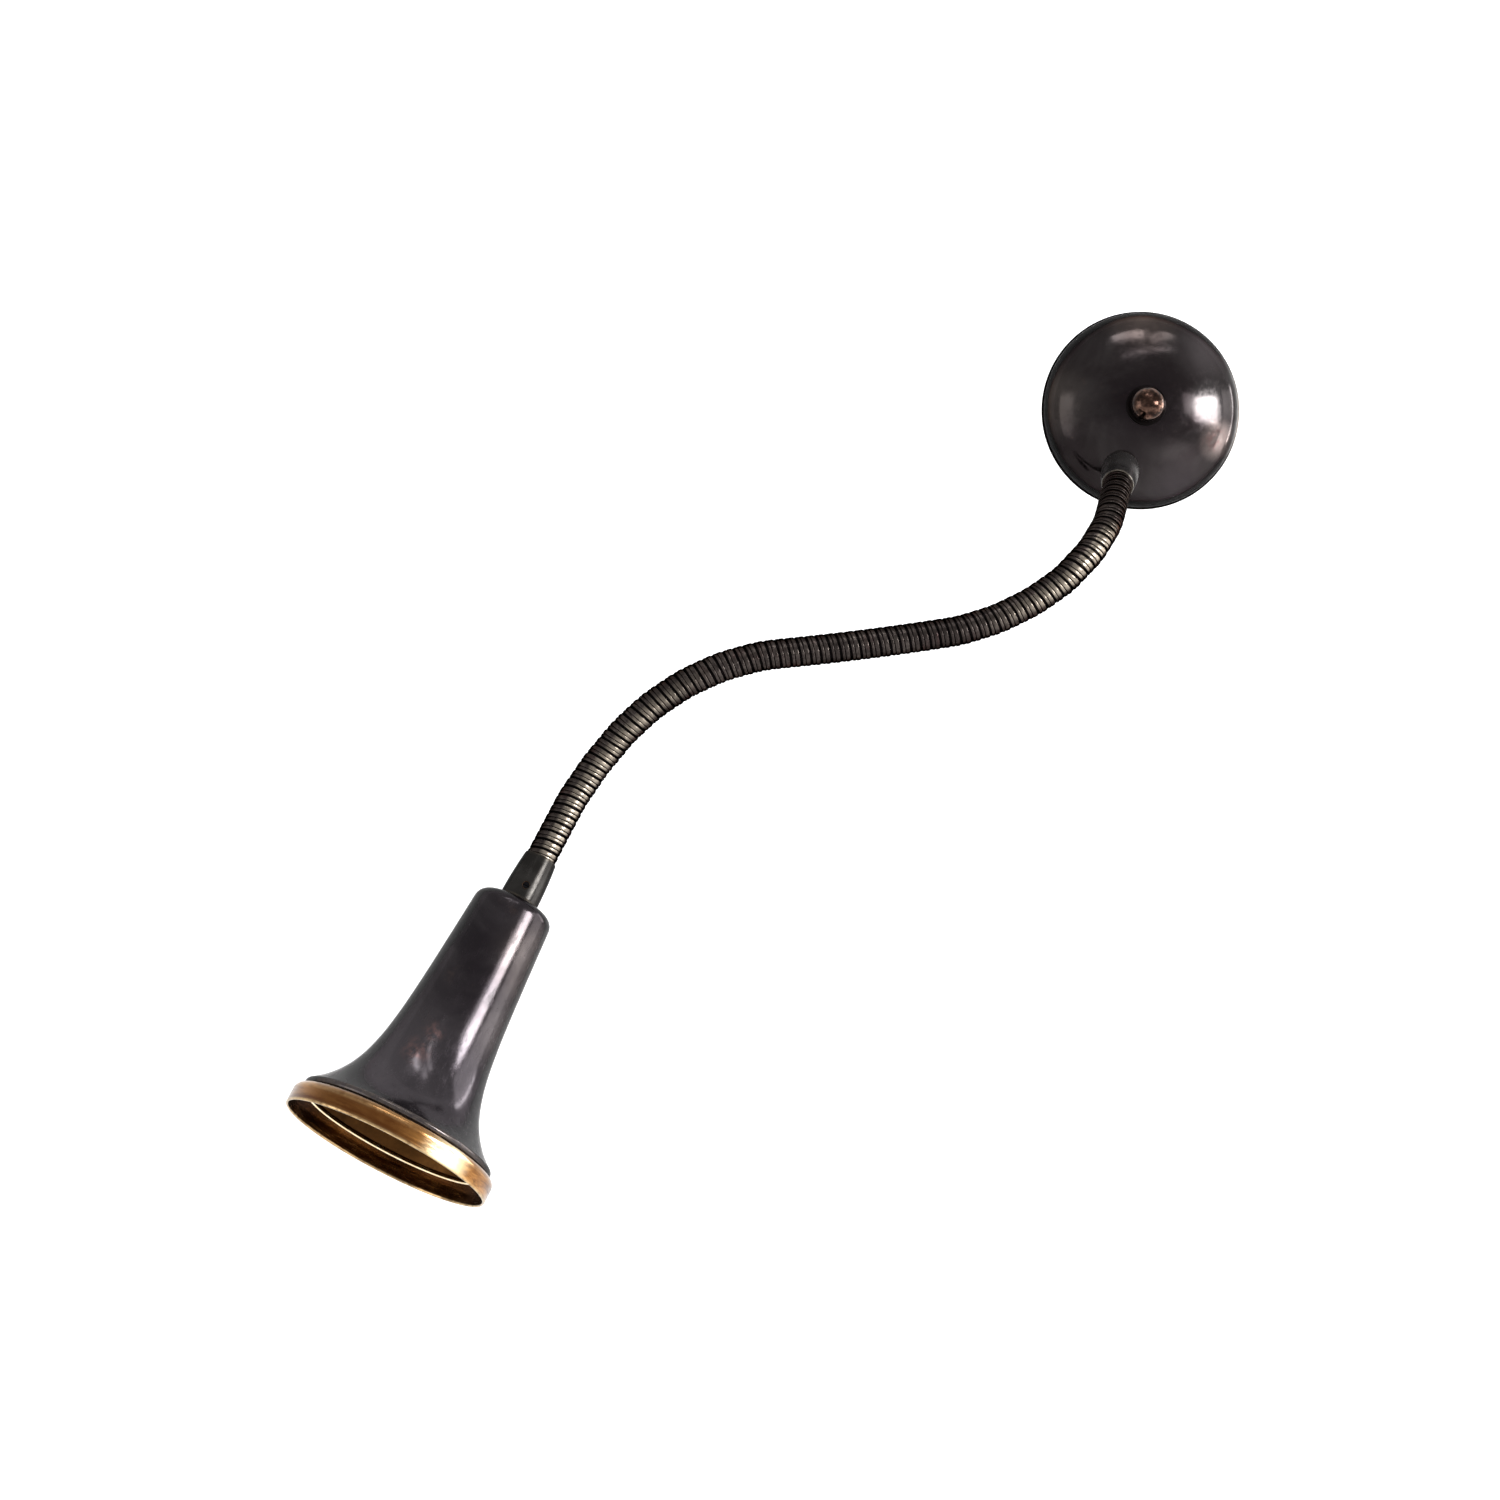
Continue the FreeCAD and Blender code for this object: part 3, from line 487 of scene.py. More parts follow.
@dataclass(frozen=True)
class AgedBrass:
    """Bare brass with darker patina in streaks round it, and lighter where its edges are rubbed."""

    bright: Colour
    brown: Colour
    stain: Colour
    smooth: float = 0.22
    streak: float = 60.0
    stretch: Point = (1, 1, 1)
    stained: float = 0.56
    polished: Colour = (0.72, 0.52, 0.27)
    gleam: Colour = (1.0, 0.90, 0.68)
    finer: float = 2.1
    broader: float = 0.45
    spread: float = 0.16
    relief: float = 0.012
    tones: tuple[Tone, ...] = ()
    rubbing: Grain = Grain(300, 4, 0.6, (0.3, 0.4), (0.6, 1))

    def material(self, name: str) -> Material:
        """Builds the finish.

        Args:
            name: The material's name.

        Returns:
            The material.
        """
        tree = Shader(name, turned_piece=True)
        streaks = Grain(self.streak, 6, 0.65, (0.36, 0), (0.62, 1), self.stretch, 0.5)
        end = self.stained + self.spread
        stains = Grain(self.streak * self.finer, 6, 0.72, (self.stained, 0), (end, 0.9), self.stretch)
        shades = Grain(self.streak * self.broader, 2, 0.5, (0.46, 0), (0.60, 0.55))
        dulling = Grain(150, 5, 0.6, (0.30, self.smooth), (0.72, self.smooth + self.spread), self.stretch)
        colour = tree.mix(tree.pattern(streaks), self.bright, self.brown)
        for stain in (stains, shades):
            colour = tree.mix(tree.pattern(stain), colour, self.stain)
        recess = tree.attribute("recess")
        colour = tree.mix(recess, tree.toned(colour, self.tones), self.stain)
        colour = tree.mix(tree.times(recess, -1.0), colour, self.gleam)
        worn = tree.times(tree.attribute("edge"), tree.pattern(self.rubbing))
        return tree.finish({"Base Color": tree.mix(worn, colour, self.polished), "Metallic": 1.0,
                            "Roughness": tree.pattern(dulling)},
                           height=tree.noise(Grain(420, 4, 0.6, stretch=self.stretch)), depth=self.relief)


COPPERY = AgedBrass((0.15, 0.085, 0.062), (0.048, 0.024, 0.018), (0.009, 0.006, 0.005), 0.09, 240.0,
                    stained=0.45)
BRIM = AgedBrass((0.42, 0.200, 0.058), (0.125, 0.046, 0.013), (0.033, 0.012, 0.005), 0.14, 30.0, (7, 1, 1))


@dataclass(frozen=True)
class Plain:
    """A hidden fitting's metal, with a faint mottle and a fine grain."""

    light: Colour
    dark: Colour
    rough: float = 0.36
    coat: float = 0.0
    metal: float = 1.0
    spread: Pair = (0.07, 0.09)
    relief: float = 0.006
    mottle: Grain = Grain(160, 5, 0.6)
    dulling: Grain = Grain(400, 3, 0.6)
    tooth: Grain = Grain(1400, 2, 0.5)

    def material(self, name: str) -> Material:
        """Builds the finish.

        Args:
            name: The material's name.

        Returns:
            The material.
        """
        tree = Shader(name)
        colour = tree.mix(tree.pattern(self.mottle), self.light, self.dark)
        below, above = self.spread
        spread = {"low": (0.3, self.rough - below), "high": (0.7, self.rough + above)}
        rough = tree.pattern(replace(self.dulling, **spread))
        return tree.finish({"Base Color": colour, "Metallic": self.metal, "Roughness": rough,
                            "Coat Weight": self.coat, "Coat Roughness": 0.1},
                           height=tree.noise(self.tooth), depth=self.relief)


@dataclass(frozen=True)
class Moulded(Plain):
    """A glazed, moulded or rubber surface, without metal in it."""

    rough: float = 0.3
    metal: float = 0.0
    spread: Pair = (0.05, 0.08)
    relief: float = 0.008
    mottle: Grain = Grain(120, 4, 0.6, (0.35, 0), (0.7, 1))
    dulling: Grain = Grain(300, 3, 0.6)
    tooth: Grain = Grain(800, 2, 0.5)


BLUED = Plain((0.014, 0.014, 0.016), (0.006, 0.006, 0.007), 0.3)


class Finishes:
    """Every finish, built once."""

    def __init__(self) -> None:
        """Builds the materials."""
        makers = {
            Slot.BLACKENED: BlackenedBrass(),
            Slot.GOOSENECK: BurnishedBand(),
            Slot.BALL_NUT: COPPERY,
            Slot.RING: BRIM,
            Slot.STEEL: Plain((0.38, 0.38, 0.39), (0.22, 0.22, 0.23)),
            Slot.HOLDER: Plain((0.66, 0.47, 0.20), (0.42, 0.27, 0.10)),
            Slot.PORCELAIN: Moulded((0.78, 0.76, 0.70), (0.66, 0.63, 0.56), 0.16, 0.4),
            Slot.BLOCK: Moulded((0.76, 0.74, 0.67), (0.68, 0.65, 0.57), 0.38),
            Slot.FLEX: Moulded((0.022, 0.022, 0.024), (0.035, 0.034, 0.034), 0.5),
        }
        self.by_slot = {slot: maker.material(slot.value) for slot, maker in makers.items()}

    def dress(self, piece: Piece, slot: Slot, *nodes: str,
              own: BlackenedBrass | AgedBrass | None = None) -> None:
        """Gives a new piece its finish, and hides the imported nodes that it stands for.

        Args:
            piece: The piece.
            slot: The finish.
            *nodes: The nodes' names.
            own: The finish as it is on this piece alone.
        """
        piece.data.materials.clear()
        piece.data.materials.append(own.material(f"{slot.value}_{piece.name}") if own else self.by_slot[slot])
        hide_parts(*nodes)
        log.info("built %s", piece.name)

    def fix(self, body: str, *made: tuple) -> None:
        """Dresses new pieces and fixes them to a body.

        Args:
            body: The body.
            *made: Pieces, each with its slot, its own finish or None, and the nodes that it stands for.
        """
        for piece, slot, own, nodes in made:
            self.dress(piece, slot, *nodes, own=own)
            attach(piece, body)

    def dress_nodes(self, slot: Slot, *nodes: str, own: Plain | None = None) -> None:
        """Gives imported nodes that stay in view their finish.

        Args:
            slot: The finish.
            *nodes: The nodes' names.
            own: The finish as it is on these nodes alone.
        """
        material = own.material(f"{slot.value}_{nodes[0]}") if own else self.by_slot[slot]
        for name in nodes:
            for holder in frame["nodes"][name].material_slots:
                holder.material = material
            log.info("node %s wears %s", name, slot.value)


# Turned pieces


class Outline:
    """A turned piece's closed half section in millimetres: x along its axis, then the radius.

    Each point also says how deep in a recess it lies, from 0 to 1, for the finish, or -1 where the
    finish has a band of its own: painted near-black shade on the dome's rim and the washer, and a near-white
    gleam on the ring's ledge bead.
    """

    STEP = 0.9
    ARC_STEPS = 5

    def __init__(self, x: float, r: float, recess: float = 0.0) -> None:
        """Starts at a point."""
        self.recess = recess
        self.points: list[Point] = [(x, r, recess)]

    def deeper(self, recess: float) -> "Outline":
        """Sets how deep in a recess the next points lie."""
        self.recess = recess
        return self

    def line(self, *ends: Pair) -> "Outline":
        """Adds straight runs.

        Args:
            *ends: The runs' end points.

        Returns:
            The outline.
        """
        for x, r in ends:
            x0, r0, _ = self.points[-1]
            steps = max(1, math.ceil(math.hypot(x - x0, r - r0) / self.STEP))
            for i in range(1, steps + 1):
                part = i / steps
                self.points.append((x0 + (x - x0) * part, r0 + (r - r0) * part, self.recess))
        return self

    def arc(self, via: Pair, end: Pair) -> "Outline":
        """Adds a circular arc.

        Args:
            via: A point on the arc.
            end: Its end point.

        Returns:
            The outline.
        """
        (ax, ay, _), (bx, by), (cx, cy) = self.points[-1], via, end
        d = 2 * (ax * (by - cy) + bx * (cy - ay) + cx * (ay - by))
        a, b, c = ax * ax + ay * ay, bx * bx + by * by, cx * cx + cy * cy
        mx = (a * (by - cy) + b * (cy - ay) + c * (ay - by)) / d
        my = (a * (cx - bx) + b * (ax - cx) + c * (bx - ax)) / d
        radius = math.hypot(ax - mx, ay - my)
        start, middle, stop = (math.atan2(y - my, x - mx) for x, y in ((ax, ay), (bx, by), (cx, cy)))
        sweep = (stop - start) % math.tau
        if (middle - start) % math.tau > sweep:
            sweep -= math.tau
        steps = max(self.ARC_STEPS, math.ceil(abs(sweep) * radius / self.STEP))
        for i in range(1, steps + 1):
            angle = start + sweep * i / steps
            self.points.append((mx + radius * math.cos(angle), my + radius * math.sin(angle), self.recess))
        return self

    def through(self, points: list[Pair]) -> "Outline":
        """Adds close-set points of a curve."""
        self.points += [(x, r, self.recess) for x, r in points]
        return self


def edge_wear(points: list[Point], reach: float = 0.9, slight: float = 0.15,
              more: float = 0.6) -> list[float]:
    """Finds how much each point of an outline is rubbed, from the sharp outward corners near it.

    Args:
        points: The outline, closed.
        reach: How far along the outline a corner's wear goes, in millimetres.
        slight: The turn up to which a corner isn't rubbed, in radians.
        more: How much more turn rubs it fully.

    Returns:
        A number from 0 to 1 for each point.
    """
    area = sum(a[0] * b[1] - b[0] * a[1] for a, b in zip(points, points[1:] + points[:1]))
    sharp = []
    for i, (x, r, _) in enumerate(points):
        before, after = points[i - 1], points[(i + 1) % len(points)]
        first = math.atan2(r - before[1], x - before[0])
        turn = (math.atan2(after[1] - r, after[0] - x) - first + math.pi) % math.tau - math.pi
        sharp.append(max(0.0, min(1.0, (turn * math.copysign(1, area) - slight) / more)))
    cut = [(s, px, pr) for s, (px, pr, _) in zip(sharp, points) if s]
    return [max((s * max(0.0, 1 - math.hypot(px - x, pr - r) / reach) for s, px, pr in cut), default=0.0)
            for x, r, _ in points]


def placed(name: str, data: bpy.types.ID) -> Piece:
    """Puts a new object of some data in the scene."""
    thing = bpy.data.objects.new(name, data)
    bpy.context.scene.collection.objects.link(thing)
    return thing


def baked(source: Piece) -> Mesh:
    """Makes a plain mesh of an object as it is after its modifiers."""
    graph = bpy.context.evaluated_depsgraph_get()
    return bpy.data.meshes.new_from_object(source.evaluated_get(graph))


def finished(name: str, mesh: Mesh, crease: float = 32.0) -> Piece:
    """Makes an object of a closed mesh, with its faces outwards and smooth up to a crease angle.

    Args:
        name: The object's name.
        mesh: The mesh, in the lamp's frame.
        crease: The angle above which an edge stays sharp, in degrees.

    Returns:
        The object, in the scene.
    """
    form = bmesh.new()
    form.from_mesh(mesh)
    bmesh.ops.remove_doubles(form, verts=form.verts, dist=WELD)
    bmesh.ops.recalc_face_normals(form, faces=form.faces)
    form.to_mesh(mesh)
    form.free()
    mesh.shade_smooth()
    mesh.set_sharp_from_angle(angle=math.radians(crease))
    mesh.name = name
    return placed(name, mesh)


def turned(name: str, outline: Outline, place: Matrix, sides: int = 144, rub: float = 1.0) -> Piece:
    """Turns a closed outline round its axis.

    Args:
        name: The piece's name.
        outline: The half section.
        place: Where the piece goes, with X along its axis, in metres.
        sides: Steps round the axis.
        rub: How much its edges are worn, from 0 to 1.

    Returns:
        The piece.
    """
    points = [p for p, q in zip(outline.points, outline.points[1:] + outline.points[:1])
              if math.hypot(p[0] - q[0], p[1] - q[1]) > TINY]
    form = bmesh.new()
    edge = form.verts.layers.float.new("edge")
    recess = form.verts.layers.float.new("recess")
    local = form.verts.layers.float_vector.new("local")
    rings = []
    for (x, r, depth), corner in zip(points, edge_wear(points)):
        turns = [math.tau * i / sides for i in range(sides)] if r > TINY else [0.0]
        spots = [Vector((x * MM, r * MM * math.cos(a), r * MM * math.sin(a))) for a in turns]
        ring = [form.verts.new(place @ spot) for spot in spots]
        for vert, spot in zip(ring, spots):
            vert[edge], vert[recess], vert[local] = corner * rub, depth, spot
        rings.append(ring)
    for first, second in zip(rings, rings[1:] + rings[:1]):
        if len(first) == len(second) == 1:
            continue
        for i in range(sides):
            j = (i + 1) % sides
            corners = [ring[k % len(ring)] for ring, k in ((first, i), (first, j), (second, j), (second, i))]
            form.faces.new(list(dict.fromkeys(corners)))
    mesh = bpy.data.meshes.new(name)
    form.to_mesh(mesh)
    form.free()
    return finished(name, mesh)


def drilled(piece: Piece, drill: Piece) -> Piece:
    """Cuts a shape out of a piece.

    Args:
        piece: The piece.
        drill: The shape to cut away, which is used up.

    Returns:
        The piece with its hole.
    """
    name = piece.name
    cut = piece.modifiers.new("hole", "BOOLEAN")
    cut.operation, cut.solver, cut.object = "DIFFERENCE", "EXACT", drill
    mesh = baked(piece)
    for used in (piece, drill):
        bpy.data.objects.remove(used)
    return finished(name, mesh)


def aimed(origin: Vector, axis: Vector) -> Matrix:
    """A frame at an origin in metres, with X along an axis."""
    return Matrix.Translation(origin) @ axis.to_track_quat("X", "Z").to_matrix().to_4x4()


def along(place: Matrix, distance: float) -> Matrix:
    """A frame moved along its own X axis by a distance in millimetres."""
    return place @ Matrix.Translation((distance * MM, 0, 0))


# The lamp


@dataclass
class Ferrule:
    """A tapered sleeve that grips one end of the gooseneck."""

    length: float = 22.0
    base: float = 8.7
    base_edge: float = 0.2
    waist: float = 8.3
    top: float = 7.3
    top_edge: float = 0.7
    rounding: tuple[Pair, Pair] = ((0.2, 0.15), (0.0, 0.4))
    mouth: float = 6.8
    socket: float = 11.0
    channel: float = 3.6
    steps: int = 20
    sides: int = 96
    rub: float = 0.35

    def radius(self, x: float) -> float:
        """The outer radius at a distance from the base, by the curve through base, waist and top."""
        part = x / self.length
        bow = self.waist - (self.base + self.top) / 2
        return self.base + (self.top - self.base) * part + 4 * bow * part * (1 - part)

    def outline(self, foot: Outline) -> Outline:
        """Carries an outline from the base up the side, over the end and down the socket.

        Args:
            foot: The outline of the base, which ends at the base's edge.

        Returns:
            The outline.
        """
        start, edge = foot.points[-1][0], self.length - self.top_edge
        heights = [start + (edge - start) * i / self.steps for i in range(1, self.steps + 1)]
        foot.through([(x, self.radius(x)) for x in heights])
        rim, bottom = self.radius(edge), self.length - self.socket
        foot.arc(*((self.length - x, rim - r) for x, r in self.rounding))
        foot.line((self.length, self.mouth)).deeper(1)
        return foot.line((bottom, self.mouth), (bottom, self.channel))


@dataclass
class Canopy:
    """The dome on the wall, its ball nut, and the ferrule that the arm leaves by."""

    radius: float = 45.0
    height: float = 28.0
    wall: float = 0.9
    skirt: float = 3.0
    shoulder: float = 18.0
    lip: float = 0.8
    lip_thickness: float = 0.8
    lip_round: Pair = (0.2, 0.06)
    lip_top_round: float = 0.25
    lip_fillet: float = 0.1
    rim_band: float = 72.0
    band_end: float = 60.0
    stud_hole: float = 2.1
    seat_out: float = 30.7
    seat_turn: float = 21.0
    washer: float = 9.2
    washer_thickness: float = 0.9
    washer_round: Pair = (0.5, 0.15)
    ball: float = 8.0
    ball_neck: float = 5.6
    ball_neck_height: float = 1.4
    ball_neck_round: Pair = (0.3, 0.1)
    ball_bore: float = 2.05
    ball_bore_depth: float = 10.0
    spigot: float = 8.0
    thread: float = 5.0
    chamfer: float = 0.5
    clearance: float = 0.05
    sides: int = 96
    # A warm patch below the dome's highlight: a painted reflection, drawn with the flush colour of a worn
    # mark.
    painted_warm_reflection: Mark = Mark((18.9, 32.4, -14.5), 9.0)
    painted_flank_highlight: Colour = (0.30, 0.29, 0.285)
    ferrule: Ferrule = field(default_factory=Ferrule)

    @property
    def crown(self) -> float:
        """The radius of the dome's crown."""
        out, rise = self.radius - self.shoulder, self.height - self.skirt
        return (out ** 2 + rise ** 2 - self.shoulder ** 2) / (2 * (rise - self.shoulder))

    @property
    def place(self) -> Matrix:
        """The canopy's frame: X points out from the wall."""
        return aimed(Vector(), Vector((0, -1, 0)))

    @property
    def seat(self) -> Matrix:
        """Where the arm leaves the dome, with X along the dome's normal."""
        lean, turn = math.asin(self.seat_out / self.crown), math.radians(self.seat_turn)
        normal = Vector((-math.sin(lean) * math.sin(turn), -math.cos(lean), -math.sin(lean) * math.cos(turn)))
        centre = Vector((0, -(self.height - self.crown) * MM, 0))
        return aimed(centre + normal * self.crown * MM, normal)

    def on_shoulder(self, angle: float, inset: float = 0.0) -> Pair:
        """The point of the shoulder's arc whose normal leans so far from the axis, in radians."""
        shoulder = self.shoulder - inset
        return (self.skirt + shoulder * math.cos(angle),
                self.radius - self.shoulder + shoulder * math.sin(angle))

    def section(self, inset: float) -> list[Pair]:
        """The dome's shoulder and crown, as the points that its two arcs need.

        Args:
            inset: How far inside the outer surface.

        Returns:
            Start, via, junction, via and apex.
        """
        crown, centre = self.crown - inset, self.height - self.crown
        join = math.asin((self.radius - self.shoulder) / (self.crown - self.shoulder))
        hole = math.asin(self.stud_hole / crown)
        found = [self.on_shoulder(a, inset) for a in (math.pi / 2, (join + math.pi / 2) / 2, join)]
        found += [(centre + crown * math.cos(a), crown * math.sin(a)) for a in ((join + hole) / 2, hole)]
        return found

    def behind(self, radius: float) -> float:
        """How far the crown falls back from a normal's foot at a radius from it."""
        return math.sqrt(self.crown ** 2 - radius ** 2) - self.crown + self.clearance

    def dome(self) -> Piece:
        """Builds the spun shell, from its wall side over the lip to the stud hole and back inside.

        Returns:
            The dome.
        """
        outer, inner = self.section(0), self.section(self.wall)
        rim, top, step = self.radius + self.lip, self.lip_thickness, self.lip_fillet
        soft, corner = self.lip_round
        band = ((90 + self.rim_band) / 2, self.rim_band, self.band_end)
        before, start, end = (math.radians(angle) for angle in band)
        # From the wall side over the lip to rim_band on the shoulder the outline is marked -1: a band of
        # painted shade, with a painted highlight on its right side.
        line = Outline(0, self.radius - self.wall, 1).line((0, rim - soft)).deeper(-1)
        line.arc((corner, rim - corner), (soft, rim)).line((top - soft, rim))
        line.arc((top - corner, rim - corner), (top, rim - self.lip_top_round))
        line.line((top, self.radius + step), (top + step, self.radius), outer[0])
        line.arc(self.on_shoulder(before), self.on_shoulder(start)).deeper(0)
        line.arc(self.on_shoulder(end), outer[2]).arc(outer[3], outer[4]).deeper(1)
        line.line(inner[4]).arc(inner[3], inner[2]).arc(inner[1], inner[0])
        return turned("canopy_shell", line, self.place, sides=192, rub=0.2)

    def nut(self) -> Piece:
        """Builds the ball nut.

        Returns:
            The nut.
        """
        neck, ball = self.ball_neck, self.ball
        soft, corner = self.ball_neck_round
        centre = self.ball_neck_height + math.sqrt(ball ** 2 - neck ** 2)
        line = Outline(0, self.ball_bore, 1).line((0, neck - soft)).arc((corner, neck - corner), (soft, neck))
        line.line((self.ball_neck_height, neck)).deeper(0).arc((centre, ball), (centre + ball, 0))
        line.deeper(1).line((self.ball_bore_depth, 0), (self.ball_bore_depth, self.ball_bore))
        place = along(self.place, self.height + self.washer_thickness)
        return turned("ball_nut_polished", line, place, self.sides, rub=0.0)

    def dished_washer(self) -> Piece:
        """Builds the washer that follows the crown.

        Returns:
            The washer.
        """
        hole, rim, top = self.stud_hole, self.washer, self.washer_thickness
        soft, corner = self.washer_round
        # The washer is marked -1 all over, so it is painted near-black: painted shade round the ball nut.
        line = Outline(self.behind(hole), hole, -1)
        line.arc((self.behind(rim / 2), rim / 2), (self.behind(rim), rim))
        line.line((top - soft, rim)).arc((top - corner, rim - corner), (top, rim - soft)).line((top, hole))
        return turned("ball_nut_dish", line, along(self.place, self.height), self.sides, rub=0.0)

    def arm_ferrule(self) -> Piece:
        """Builds the ferrule with its spigot.

        Returns:
            The ferrule.
        """
        ferrule, thread, tip = self.ferrule, self.thread, -self.spigot
        base = ferrule.base - ferrule.base_edge
        middle = (thread + base) / 2
        line = Outline(tip, ferrule.channel, 1).line((tip, thread - self.chamfer))
        line.line((tip + self.chamfer, thread), (self.behind(thread), thread))
        line.arc((self.behind(middle), middle), (self.behind(base), base)).deeper(0)
        line.line((self.behind(base) + 2 * ferrule.base_edge, ferrule.base))
        return turned("canopy_ferrule_sleeve", ferrule.outline(line), self.seat, ferrule.sides, ferrule.rub)

    def build(self, finishes: Finishes) -> None:
        """Builds and dresses the canopy.

        Args:
            finishes: The materials.
        """
        right = self.seat.to_3x3().inverted() @ Vector((1, 0, 0))
        waist = self.ferrule.waist
        flank = (self.ferrule.length / 2, right.y * waist, right.z * waist)
        # The lighter patch on the ferrule's right flank is a painted highlight.
        painted_flank_highlight = replace(DULLED, tones=(Tone(flank, waist, self.painted_flank_highlight),))
        finishes.fix("canopy",
                     (self.dome(), Slot.BLACKENED, replace(SPUN, marks=(self.painted_warm_reflection,)), ("canopy_dome",)),
                     (self.nut(), Slot.BALL_NUT, None, ("ball_nut",)),
                     (self.dished_washer(), Slot.BLACKENED, None, ("ball_nut_washer",)),
                     (self.arm_ferrule(), Slot.BLACKENED, painted_flank_highlight, ("canopy_ferrule",)))
        finishes.dress_nodes(Slot.STEEL, "wall_bracket", "canopy_stud", "stud_lock_nut", "ferrule_lock_nut",
                             "bracket_screws")
        finishes.dress_nodes(Slot.BLOCK, "terminal_block")


@dataclass(frozen=True)
class Section:
    """The cross-section of one strand of the gooseneck's winding."""

    width: float
    height: float
    radius: float
    square: float
    shift: float
    points: int
    steps: int
    crest: float


